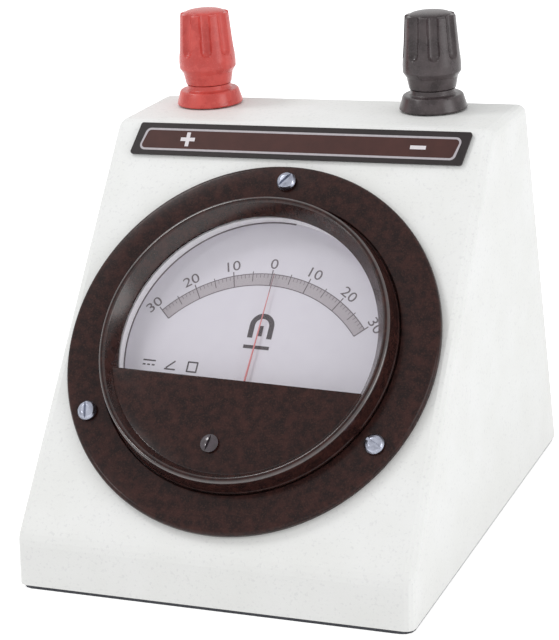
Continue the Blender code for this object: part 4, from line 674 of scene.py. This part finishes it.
body_profile = eased([
    (0, FLOOR, 0), (INNER_R, FLOOR, 0.8), (INNER_R, SEAT_H, 0.15), (SEAT_R, SEAT_H, 0.1),
    (SEAT_R, FLANGE_T, 0.25), (FLANGE_R, FLANGE_T, 1.15), (FLANGE_R, GAP, 0.2), (BARREL_R, GAP, 0.3),
    (BARREL_R, BACK, 1.4), (0, BACK, 0),
], closed=False)


def pair(radius, low, high, x, y):
    """The same rod on the left and on the right."""
    return [rod(radius, low, high, side * x, y) for side in (-1, 1)]


bosses = pair(BOSS_R, FLOOR - 1, FLOOR + 1, BOSS_X, PIVOT[1])
pillars = pair(PILLAR_R, FLOOR - 1, PILLAR_TOP, PILLAR_X, PIVOT[1])
drills = [
    rod(SCREW_HOLE_R, -1, FLANGE_T + 1, SCREW_RING * cos(a), SCREW_RING * sin(a))
    for a in map(radians, SCREW_ANGLES)
]
drills += pair(TAP_R, BOSS_TAP_END, -1, BOSS_X, PIVOT[1])
drills += pair(TAP_R, PILLAR_TAP_END, -1, PILLAR_X, PIVOT[1])
drills += pair(STUD_HOLE_R, BACK - 1, FLOOR + 1, STUD_X, STUD_Y)
body = cut(turned(body_profile, FINE, False), joined(bosses + pillars), "UNION")
body = merged(cut(body, joined(drills)))
piece("meter_body", body, meter, phenolic, ["meter_housing"])

# %% [markdown]
# ## The bezel and the shield
#
# The cover drops into the body's seat. It rises to a narrow crest and falls inwards in a cone to the
# window. Below the window a flat shield hides the movement, and its straight upper edge cuts the window to
# the shape of a D. The shield is drawn as the part of a disc below a line, given thickness, and its corners
# are eased before it is sunk into the ring.

# %% Turn the ring and add the shield
COVER_R, PANE_R, COVER_FOOT = 33.6, 32.1, 1.4
CHORD_Y, SHIELD_LOW, SHIELD_HIGH = -9.3, 3.1, 5.0
ADJUSTER = (-1.754, -23.947)
ADJUSTER_HOLE_R = 1.7

ring_profile = eased([
    (CREST_R - 1.2, CREST_H, 0.45), (CREST_R, CREST_H, 0.6), (33.4, 2.7, 0.3), (COVER_R, 2.4, 0.15),
    (COVER_R, COVER_FOOT, 0.1), (PANE_R, COVER_FOOT, 0.1), (PANE_R, SHIELD_LOW, 0),
    (WINDOW_R, SHIELD_LOW, 0.1), (WINDOW_R, WINDOW_EDGE, 0.15), (31.2, 6.3, 0.2),
], steps=4)


def disc_below(radius, chord, steps=96):
    """The outline of a disc below a level line."""
    corner = asin(chord / radius)
    sweep = pi + 2 * corner
    angles = [pi - corner + sweep * k / steps for k in range(steps + 1)]
    return [(radius * cos(a), radius * sin(a)) for a in angles]


def slab(outline, low, high, ease=0.0):
    """A flat piece between two heights, its upper edge eased."""
    shape = bmesh.new()
    top = shape.faces.new([shape.verts.new((x, y, high)) for x, y in outline])
    solid = bmesh.ops.extrude_face_region(shape, geom=[top])
    moved = [part for part in solid["geom"] if isinstance(part, bmesh.types.BMVert)]
    bmesh.ops.translate(shape, verts=moved, vec=(0, 0, low - high))
    bmesh.ops.recalc_face_normals(shape, faces=shape.faces)
    if ease:
        rim = [e for e in shape.edges if all(abs(v.co.z - high) < SPECK for v in e.verts)]
        bmesh.ops.bevel(shape, geom=rim, offset=ease, segments=3, affect="EDGES", profile=0.5)
    return tidy(shape)


shield = slab(disc_below(WINDOW_R + 1.0, CHORD_Y), SHIELD_LOW, SHIELD_HIGH, 0.25)
shield = cut(shield, rod(ADJUSTER_HOLE_R, SHIELD_LOW - 1, SHIELD_HIGH + 1, *ADJUSTER))
bezel = merged(cut(turned(ring_profile, FINE), shield, "UNION"))
piece("meter_bezel", bezel, meter, phenolic, ["meter_cover"])

# %% [markdown]
# ## Screws set in a ring
#
# Three equal screws stand on one circle, and nobody lines up their slots. That is a rule, so Geometry Nodes
# place them: points are laid on the circle, one screw is set on each, and its turn grows by a fixed step.
# `plan` builds a tree with named inputs and ends it in Realize Instances and Set Material. `grown` gives
# the inputs their values by the sockets' identifiers, takes the result as a plain mesh and drops the
# modifier.

# %% Helpers for plans
SOCKETS = {int: "Int", float: "Float"}


def plan(name, sizes, lay):
    """A Geometry Nodes tree whose named inputs are sizes."""
    tree = bpy.data.node_groups.new(name, "GeometryNodeTree")
    tree.is_modifier = True

    def add(label, kind, side="INPUT"):
        return tree.interface.new_socket(label, in_out=side, socket_type="NodeSocket" + kind)

    add("Blank", "Geometry")
    for label, value in sizes.items():
        add(label, SOCKETS[type(value)]).default_value = value
    add("Finish", "Material")
    add("Shape", "Geometry", "OUTPUT")
    bench = Bench(tree)
    given = bench.node("NodeGroupInput")
    real = bench.node("GeometryNodeRealizeInstances", {"Geometry": lay(bench, given)})
    coated = bench.node("GeometryNodeSetMaterial", {"Geometry": real, "Material": given["Finish"]})
    bench.node("NodeGroupOutput", {"Shape": coated})
    print("plan", name, "takes", list(sizes))
    return tree


def grown(tree, blank, coat, sizes):
    """The plain mesh that a plan makes of a blank."""
    holder = in_scene(tree.name, blank)
    modifier = holder.modifiers.new(tree.name, "NODES")
    modifier.node_group = tree
    named = {item.name: item.identifier for item in tree.interface.items_tree if item.in_out == "INPUT"}
    for label, value in {"Finish": coat, **sizes}.items():
        modifier[named[label]] = value
    bpy.context.view_layer.update()
    return plain_mesh(holder)


def set_out(bench, given, spot, turn, instance):
    """Sets an instance on each of Count spots and turns it about z."""
    points = bench.node("GeometryNodeMeshLine", {"Count": given["Count"], "Offset": (0, 0, 0)})
    laid = bench.node("GeometryNodeSetPosition", {"Geometry": points, "Position": spot})
    turned_by = bench.node("FunctionNodeAxisAngleToRotation", {"Axis": (0, 0, 1), "Angle": turn})
    return bench.node("GeometryNodeInstanceOnPoints", {
        "Points": laid, "Instance": instance, "Rotation": turned_by,
    })


def lay_ring(bench, given):
    index = bench.node("GeometryNodeInputIndex")
    angle = given["First angle"] + index * tau / given["Count"]
    spot = bench.point(angle.cosine() * given["Radius"], angle.sine() * given["Radius"], given["Height"])
    return set_out(bench, given, spot, given["First turn"] + index * given["Turn step"], given["Blank"])


RING = {
    "Count": len(SCREW_ANGLES), "Radius": SCREW_RING, "Height": FLANGE_T + GAP,
    "First angle": radians(SCREW_ANGLES[0]),
    "First turn": radians(52), "Turn step": radians(50),
}
screw_ring = plan("screw_ring", RING, lay_ring)

# %% [markdown]
# The screw itself has a low round head with a milled slot and a plain shank. The slot is cut once, before
# the screws are set in their ring.

# %% The screws of the meter
HEAD_R, HEAD_H, SHANK_R, SHANK_END = 2.2, 1.5, 1.25, -11.0
SLOT_WIDE = SLOT_DEEP = 0.6

head = eased([
    (0, HEAD_H, 0), (1.0, 1.47, 0.6), (1.8, 1.1, 0.7), (HEAD_R, 0.45, 0.3), (HEAD_R, 0, 0.1),
    (SHANK_R, 0, 0.1), (SHANK_R, SHANK_END, 0.3), (0, SHANK_END, 0),
], closed=False)
screw = cut(turned(head, 64, False), block((6, SLOT_WIDE, 2), (0, 0, HEAD_H - SLOT_DEEP + 1)))
piece("meter_screws", grown(screw_ring, screw, zinc, RING), meter, zinc,
      ["meter_screw_1", "meter_screw_2", "meter_screw_3"])

# %% [markdown]
# ## The zero adjuster
#
# Under the window a small dark domed screw sets the needle's rest. It turns in the shield, and a pin on its
# inner end leads the zero lever. It is a body of its own in the solids, so this piece rides on that body.

# %% Turn the adjuster
DOME_R, DOME_TOP, DOME_STEP = 3.6, 6.2, 0.054
ADJUSTER_SLOT = 0.55
PIN_R, PIN_LOW, PIN_HIGH, PIN_ASIDE = 0.4, -0.4, 2.3, 0.9

crown = [(DOME_R * sin(a), DOME_TOP - DOME_R * (1 - cos(a))) for a in (DOME_STEP * k for k in range(11))]
adjuster_profile = [*crown, *eased([
    (1.85, 5.7, 0), (2.0, 5.6, 0.1), (2.0, 5.3, 0.1), (1.4, 5.3, 0), (1.4, 2.8, 0), (2.4, 2.8, 0.1),
    (2.4, 1.8, 0.1), (0, 1.8, 0),
], closed=False)[1:]]
adjuster_frame = meter @ shift((*ADJUSTER, 0)) @ spin(radians(-10))
slot = block((ADJUSTER_SLOT, 6, 2), (0, 0, DOME_TOP - ADJUSTER_SLOT + 1))
adjuster = cut(turned(adjuster_profile, 64, False), slot)
pin = rod(PIN_R, PIN_LOW, PIN_HIGH, 0, PIN_ASIDE)
piece("zero_screw", joined([adjuster, pin]), adjuster_frame, adjuster_plastic,
      ["zero_adjuster"], "zero_adjuster")

# %% [markdown]
# ## The printed scale
#
# The scale runs thirty divisions to each side of zero. It has a pale band between two fine arcs, closed at
# its ends, and marks that stand a little proud of it: long at the tens, shorter at the fives, hair-fine at
# the units. The arcs are flat strips bent round one middle, which lies at the pivot but for a printer's
# error of a third of a millimetre. The marks are one stroke, repeated along an arc by a plan. All ink is a
# hundredth of a millimetre thick, just above the dial's paint. A fine dark line along the dial's rim on
# the left is a painted shadow, for the shade where the rim meets the dial.

# %% Arcs of ink and a painted shadow
DIAL_FACE = -1.0
THIN, ARC_LINE = 0.34, 0.2
PRINT_MIDDLE = (0.3, -14.15)
SCALE_OUT, SCALE_IN = 31.8, 29.1
SCALE_END = radians(48.4)
SCALE_CAP = 0.0035
RIM_SHADOW_R, RIM_SHADOW_FROM, RIM_SHADOW_TO = 29.9, radians(-112), radians(6)
PAINT_GAP, INK = 0.012, 0.012


def strip(radius, width, start, end, height, steps=96, middle=PRINT_MIDDLE):
    """A thin arc of ink about a middle, its angles counted from upright, clockwise."""
    edge = []
    for r, turns in ((radius + width / 2, range(steps + 1)), (radius - width / 2, range(steps, -1, -1))):
        for k in turns:
            a = start + (end - start) * k / steps
            edge.append((middle[0] + r * sin(a), middle[1] + r * cos(a)))
    shape = bmesh.new()
    rows = [[shape.verts.new((x, y, z)) for x, y in edge] for z in (height, height + INK)]
    wall(shape, *rows)
    for row in rows:
        wall(shape, row[:steps + 1], row[:steps:-1], False)
    return tidy(shape)


layer = DIAL_FACE + PAINT_GAP
middle_r, wide = (SCALE_OUT + SCALE_IN) / 2, SCALE_OUT - SCALE_IN
band = strip(middle_r, wide, -SCALE_END, SCALE_END, layer)
piece("scale_band", band, meter, band_ink)

lines = [strip(r, ARC_LINE, -SCALE_END, SCALE_END, layer + 0.5 * INK) for r in (SCALE_OUT, SCALE_IN)]
for end in (-SCALE_END, SCALE_END):
    lines.append(strip(middle_r, wide, end - SCALE_CAP, end + SCALE_CAP, layer + 0.6 * INK, 1))
# Painted shadow: a fine dark arc along the left of the dial's rim, for the shade where the rim meets the
# dial.
lines.append(strip(RIM_SHADOW_R, THIN, RIM_SHADOW_FROM, RIM_SHADOW_TO, layer, middle=(0, 0)))

# %% Strokes of the scale
def lay_marks(bench, given):
    index = bench.node("GeometryNodeInputIndex")
    angle = (index / (given["Count"] - 1) * 2 - 1) * given["Half spread"]
    spot = bench.point(angle.sine() * given["Radius"], angle.cosine() * given["Radius"])
    size = bench.point(given["Width"], given["Length"], given["Ink"])
    mark = bench.node("GeometryNodeMeshCube", {"Size": size})
    return set_out(bench, given, spot, angle * -1.0, mark)


MARK = {"Count": 7, "Radius": 31.0, "Half spread": SCALE_END, "Width": 0.2, "Length": 2.0, "Ink": INK}
scale_marks = plan("scale_marks", MARK, lay_marks)

for count, inner, outer, width, lift in (
    (7, SCALE_IN, SCALE_OUT + 1.0, 0.24, 1.2),
    (13, SCALE_IN + 0.9, SCALE_OUT + 0.6, 0.20, 1.3),
    (61, SCALE_OUT - 0.9, SCALE_OUT, 0.11, 1.4),
):
    sizes = {"Count": count, "Radius": (inner + outer) / 2, "Width": width, "Length": outer - inner}
    row = grown(scale_marks, bpy.data.meshes.new("empty"), soft_ink, {**MARK, **sizes})
    row.transform(shift((*PRINT_MIDDLE, layer + lift * INK)))
    lines.append(row)
piece("scale_lines_and_rim_shadow", joined(lines), meter, soft_ink, smooth=False)

# %% [markdown]
# ## Numbers and signs
#
# The numbers follow the arc, each upright on its own radius. Text is a curve in Blender, so each number
# becomes a mesh before it is laid in place. In the middle of the dial stands the sign for a moving coil in
# a magnet, a horseshoe over a bar. Low on the left are three small signs without words: direct current, the
# slope of the stand, and an empty box.

# %% Numbers along the arc
NUMBER_R, NUMBER_SIZE, NUMBER_WIDTH = 34.1, 3.3, 1.2
NUMBER_STEP = radians(16.5)


def written(text):
    """Text as a flat mesh, centred on the origin."""
    curve = bpy.data.curves.new("text", "FONT")
    curve.body, curve.size, curve.align_x, curve.align_y = text, NUMBER_SIZE, "CENTER", "CENTER"
    curve.extrude = INK / 2
    curve.resolution_u = 4
    mesh = plain_mesh(in_scene("text", curve))
    mesh.transform(Matrix.Diagonal((NUMBER_WIDTH, 1, 1, 1)))
    return merged(mesh)


numbers = []
for step in range(-3, 4):
    number = written(str(abs(step) * 10))
    middle = shift((*PRINT_MIDDLE, layer + INK / 2))
    outwards = spin(-NUMBER_STEP * step) @ shift((0, NUMBER_R, 0))
    number.transform(middle @ outwards)
    numbers.append(number)
piece("scale_numbers", joined(numbers), meter, soft_ink, smooth=False)

# %% Signs without words
def stroke(x, y, width, height, turn=0.0, z=layer + INK):
    return block((width, height, INK), (x, y, z), turn)


SIGN_X, SIGN_Y, BEND_R, LIMB, LEG = 0.8, 5.5, 2.25, 1.2, 2.9
CURRENT_X, SLOPE_X, BOX_X, BOX_Y, BOX_HALF = -23.4, -18.2, -13.0, -5.5, 1.1
horseshoe = [
    strip(BEND_R, LIMB, radians(-90), radians(90), layer, 24, (SIGN_X, SIGN_Y)),
    *[stroke(SIGN_X + side * BEND_R, SIGN_Y - LEG / 2, LIMB, LEG) for side in (-1, 1)],
    stroke(SIGN_X, SIGN_Y - 1.2, 0.9, 2.4), stroke(SIGN_X - 0.2, 0.5, 6.0, 0.8),
]
signs = [
    stroke(CURRENT_X, -4.9, 3.0, THIN), *[stroke(CURRENT_X + 1.1 * k, -5.9, 0.7, THIN) for k in (-1, 0, 1)],
    stroke(SLOPE_X, -6.5, 2.6, THIN), stroke(SLOPE_X, -5.4, 2.6, THIN, radians(42)),
    *[stroke(BOX_X, BOX_Y + side * BOX_HALF, 2.3, THIN) for side in (1, -1)],
    *[stroke(BOX_X + side * BOX_HALF, BOX_Y, THIN, 2.4) for side in (-1, 1)],
]
piece("dial_signs", joined(horseshoe + signs), meter, dark_ink, smooth=False)

# %% [markdown]
# ## The label's print
#
# The label keeps its solid. Its print is a red-brown field inside a thin silver frame, which follows the
# plate's slanting ends with rounded corners, and a plus and a minus for the two terminals. The middle is
# left bare.

# %% Frame and polarity signs of the label
LABEL_LOW, LABEL_HIGH = 44.7, 52.6
LABEL_HALF, LABEL_LEAN, LABEL_X = 39.45, 0.65, 0.6
LABEL_FACE = 0.8 + PAINT_GAP


def slanted(inset_side, inset_low, inset_high, round_by):
    """The label's outline, drawn in by three insets, with round corners."""
    half, low, high = LABEL_HALF - inset_side, LABEL_LOW + inset_low, LABEL_HIGH - inset_high
    return eased([
        (LABEL_X + side * half + lean, y, round_by) for side, lean, y in (
            (-1, -LABEL_LEAN, low), (1, -LABEL_LEAN, low), (1, LABEL_LEAN, high), (-1, LABEL_LEAN, high),
        )
    ], 6)


def frame_between(outer, inner, height):
    """A flat frame between two outlines of equally many points."""
    shape = bmesh.new()
    rows = [
        [shape.verts.new((x, y, z)) for x, y in outline]
        for outline in (outer, inner) for z in (height, height + INK)
    ]
    for one, two in ((0, 1), (1, 3), (3, 2), (2, 0)):
        wall(shape, rows[one], rows[two])
    return tidy(shape)


LINE = 0.5
FRAME = 1.8, 1.0, 1.35
outer, inner = slanted(*FRAME, 1.3), slanted(*[inset + LINE for inset in FRAME], 0.9)
field = slab(outer, LABEL_FACE, LABEL_FACE + INK)
piece("label_field", field, panel, label_field, smooth=False)
border = frame_between(outer, inner, LABEL_FACE + 1.5 * INK)
piece("label_frame", border, panel, silver_ink, smooth=False)

PLUS_X, PLUS_Y, MINUS_X, MINUS_Y, LIMB_WIDTH = -25.8, 48.6, 29.0, 48.5, 0.9
polarity = [stroke(*sizes, z=LABEL_FACE + 2 * INK) for sizes in (
    (PLUS_X, PLUS_Y, 3.5, LIMB_WIDTH), (MINUS_X, MINUS_Y, 3.6, LIMB_WIDTH),
    (PLUS_X, PLUS_Y - 1.1, LIMB_WIDTH, 1.3), (PLUS_X, PLUS_Y + 1.1, LIMB_WIDTH, 1.3),
)]
piece("polarity_signs", joined(polarity), panel, white_ink, smooth=False)

# %% [markdown]
# ## The terminals' collars
#
# A collar insulates the post from the case. It is a short cone with a soft shoulder and a neck on which the
# knob comes to rest, and a spigot centres it in the case's hole.

# %% Turn the collars
BORE_R, NECK_R, NECK_H = 2.3, 5.1, 4.95
SHOULDER_R, SHOULDER_H, FOOT_R = 6.8, 3.7, 7.8
SPIGOT_R, SPIGOT_END = 3.1, -2.1

collar_profile = eased([
    (BORE_R, NECK_H, 0.1), (NECK_R, NECK_H, 0.15), (NECK_R, SHOULDER_H, 0.5), (SHOULDER_R, SHOULDER_H, 0.7),
    (FOOT_R, GAP, 0.3), (SPIGOT_R, GAP, 0.1), (SPIGOT_R, SPIGOT_END, 0.2), (BORE_R, SPIGOT_END, 0.1),
])
collar = turned(collar_profile, 96)
plastics = {"red": red_plastic, "black": black_plastic}
for colour, plastic in plastics.items():
    piece(colour + "_turned_collar", collar, terminal(colour), plastic,
          [colour + "_collar"])

# %% [markdown]
# ## The fluted knobs
#
# A knob follows a rule: a turned blank with eight grooves that run down it and die out above the band. So
# the blank is turned with many rings, and a plan presses the grooves in. For each point it takes the angle
# to the nearest groove. A groove is a round bar of one radius, standing beside the knob at a distance that
# follows its taper, with a ball for its lower end. Where the bar reaches in further than the knob's own
# surface, the point is pulled in to the bar, through a soft minimum that rounds the ribs' edges.

# %% The plan of the grooves
OUT_OF_REACH = 10


def round_place(bench):
    """Each point's height, its distance from the axis, its angle round it, and x and y."""
    parts = bench.parts_of(bench.node("GeometryNodeInputPosition"))
    x, y = parts["X"], parts["Y"]
    return parts["Z"], span(x, y), y.angle_with(x), x, y


def drawn_in(bench, given, share, x, y, z):
    """The blank, with each point's distance from the axis times a share."""
    moved = bench.point(x * share, y * share, z)
    return bench.node("GeometryNodeSetPosition", {"Geometry": given["Blank"], "Position": moved})


def lay_flutes(bench, given):
    z, radius, angle, x, y = round_place(bench)
    pitch = tau / given["Count"]
    aside = angle.wrapped(pitch * 0.5, pitch * -0.5)
    top, band = given["Top height"], given["Band height"]
    taper = (z - band) / (top - band)
    surface = given["Band radius"] + taper * (given["Top radius"] - given["Band radius"])
    groove = given["Groove radius"]
    bar = surface + groove - given["Groove depth"]
    below = (given["Groove foot"] + groove - z).at_least(0)
    across = bar * aside.sine()
    inside = groove * groove - below * below - across * across
    reach = bar * aside.cosine() - inside.root() + (inside < 0) * OUT_OF_REACH
    new_radius = radius.soft_least(reach, given["Softness"])
    return drawn_in(bench, given, new_radius / radius.at_least(SEAM), x, y, z)


KNOB = {
    "Count": 8, "Top height": 21.6, "Band height": 10.6, "Top radius": 5.75, "Band radius": 6.6,
    "Groove radius": 1.5, "Groove depth": 1.05, "Groove foot": 11.9, "Softness": 0.25,
}
flutes = plan("knob_flutes", KNOB, lay_flutes)

# %% Blank, grooves and both knobs
KNOB_FACING = radians(-67)
KNOB_TOP, KNOB_FOOT, KNOB_DOME_R, KNOB_DOME_H = KNOB["Top height"], 5.1, 4.75, 0.9
BAND_R = KNOB["Band radius"]
INSERT_R, INSERT_TOP, HOLLOW_TOP = 3.9, 13.5, 18.4
KNOB_STEP, KNOB_ROUND = 0.18, 256

dome = [(KNOB_DOME_R * sin(a), KNOB_TOP + KNOB_DOME_H * cos(a)) for a in (k * pi / 20 for k in range(10))]
outside = eased([
    (KNOB_DOME_R, KNOB_TOP, 0), (KNOB["Top radius"], KNOB_TOP, 0.4), (BAND_R, KNOB["Band height"], 0.5),
    (BAND_R, 8.9, 0.5), (5.8, 7.7, 0.6), (5.3, KNOB_FOOT, 0.15), (INSERT_R, KNOB_FOOT, 0),
], closed=False)
inside = [
    (INSERT_R, KNOB_FOOT), (INSERT_R, INSERT_TOP), (BORE_R, INSERT_TOP), (BORE_R, HOLLOW_TOP),
    (0, HOLLOW_TOP),
]
blank = turned([*spaced([*dome, *outside], KNOB_STEP), *inside], KNOB_ROUND, False)
knob = merged(grown(flutes, blank, red_plastic, KNOB))
for colour, plastic in plastics.items():
    piece(colour + "_fluted_knob", knob, terminal(colour, KNOB_FACING), plastic,
          [colour + "_knob"], colour + "_knob")

# %% [markdown]
# ## Threads on the posts
#
# A knob that is screwed up shows the thread of its post. A thread is a rule as well: the radius falls and
# rises with the height, and the pattern climbs by one pitch for each turn. The real pitch is 0.7 mm. The
# hole across the post, for a bare wire, is drilled last.

# %% The plan of a thread
GROOVE_SHARE, NEAR = 0.78, 0.02


def lay_thread(bench, given):
    z, radius, angle, x, y = round_place(bench)
    climb = z / given["Pitch"] - angle / tau
    wave = climb.folded(0.5) * 2
    groove = (GROOVE_SHARE - wave).at_least(0) / GROOVE_SHARE
    on_shaft = (radius > given["Radius"] * (1 - NEAR)) * (radius < given["Radius"] * (1 + NEAR))
    on = (z > given["From"]) * (z < given["To"]) * on_shaft
    return drawn_in(bench, given, 1 - groove * on * given["Depth"] / radius.at_least(SEAM), x, y, z)


POST = {"Pitch": 0.7, "Depth": 0.36, "Radius": 2.0, "From": -11.6, "To": 17.2}
thread = plan("post_thread", POST, lay_thread)

# %% Blank, thread and cross hole of the posts
POST_R, POST_TOP, POST_END, POST_RIM_R = POST["Radius"], 17.6, -12.0, 1.6
WASHER_R, WASHER_LOW, WASHER_HIGH = 3.2, 5.1, 5.9
CROSS_R, CROSS_H = 0.8, 7.4
POST_STEP, POST_ROUND = 0.09, 48

post_profile = [
    (0, POST_TOP), (POST_RIM_R, POST_TOP), (POST_R, POST["To"]), (POST_R, WASHER_HIGH),
    (WASHER_R, WASHER_HIGH), (WASHER_R, WASHER_LOW), (POST_R, WASHER_LOW), (POST_R, POST["From"]),
    (POST_RIM_R, POST_END), (0, POST_END),
]
post = grown(thread, turned(spaced(post_profile, POST_STEP), POST_ROUND, False), brass, POST)
cross = rod(CROSS_R, -4, 4, steps=24)
cross.transform(shift((0, 0, CROSS_H)) @ spin(pi / 2, "Y"))
post = merged(cut(post, cross))
for colour in plastics:
    piece(colour + "_threaded_post", post, terminal(colour), brass, [colour + "_post"])

# %% [markdown]
# ## Finishes for the solids that stay
#
# The other solids have the right shape already and only get their finish. The list goes by what a part is
# made of, and a part by the start of its name.

# %% Coat the solids
COATS = {
    case_paint: "case_shell",
    board: "base_plate",
    label_lacquer: "label_plate",
    pane: "window_glass",
    dial_paint: "dial_plate",
    needle_lacquer: "pointer",
    zinc: "base_screw meter_nut dial_screw movement_screw meter_tag red_nut red_tag black_nut black_tag",
    brass: "front_bridge rear_bridge core_clamp front_jewel_screw rear_jewel_screw zero_lever "
           "balance_weight meter_stud red_insert black_insert",
    aluminium: "coil_former",
    steel: "front_pivot rear_pivot",
    soft_iron: "yoke_ring",
    magnet_alloy: "core_magnet",
    bronze: "front_hairspring rear_hairspring",
    winding: "coil_winding",
    red_sleeve: "red_lead",
    black_sleeve: "black_lead",
}
coated = set()
for coat, starts in COATS.items():
    for name, solid in nodes.items():
        if name.startswith(tuple(starts.split())):
            solid.data.materials.clear()
            solid.data.materials.append(coat)
            coated.add(name)
shown = {name for name, solid in nodes.items() if not solid.hide_render}
print("coated", len(coated), "left plain", sorted(shown - coated))

# %% [markdown]
# ## Floor and light
#
# The picture has a white ground and soft, even light. The camera sees the floor, a wide pale sheet, a
# little brighter than it is lit, which keeps it white and still leaves a shadow on it. The world is a plain
# white sky. Two large soft lamps, one above on the left and one low on the right, give the edges their
# direction. Their levels add up to one on most faces, so a colour renders about as it is written. A small
# weak lamp stands where the bezel's crest mirrors it, and draws the thin bright line along it.

# %% Floor
FLOOR_SIZE, FLOOR_GLOW = 6, 0.6

floor_shape = bmesh.new()
bmesh.ops.create_grid(floor_shape, x_segments=1, y_segments=1, size=FLOOR_SIZE)
floor_mesh = as_mesh(floor_shape)


def lay_floor(bench):
    cloud = bench.grain(60, 2.0)
    return {
        "Base Color": bench.blend(cloud, (246, 246, 246), (244, 244, 245)),
        "Emission Strength": bench.seen() * FLOOR_GLOW,
    }


floor_mesh.materials.append(
    finish("pale_floor", lay_floor, Roughness=0.9, Specular_IOR_Level=0.1, Emission_Color=(1, 1, 1, 1)))
in_scene("floor", floor_mesh)

# %% World and lamps
WORLD_LEVEL = 0.73
LAMPS_AIM = Vector((0, 0, 0.05))
LAMPS = {
    "key": ((-0.69, -0.15, 1.085), 0.32, 3.0),
    "fill": ((1.137, -0.264, 0.347), 0.7, 3.4),
    "edge": ((-0.63, -0.64, 0.55), 0.12, 0.7),
}

world = bpy.data.worlds.new("studio")
scene.world = world
world.use_nodes = True
sky = Bench(world.node_tree)
strength = sky.seen() * (1.0 - WORLD_LEVEL) + WORLD_LEVEL
glow = sky.node("ShaderNodeBackground", {"Color": (1, 1, 1, 1), "Strength": strength})
sky.node("ShaderNodeOutputWorld", {"Surface": glow})

for name, (spot, width, power) in LAMPS.items():
    light = bpy.data.lights.new(name, "AREA")
    light.shape, light.size, light.energy = "DISK", width, power
    lamp = in_scene(name, light)
    lamp.location = spot
    lamp.rotation_euler = (LAMPS_AIM - lamp.location).to_track_quat("-Z", "Y").to_euler()
scene.view_settings.view_transform = "Standard"
print("world", WORLD_LEVEL, "lamps", list(LAMPS))
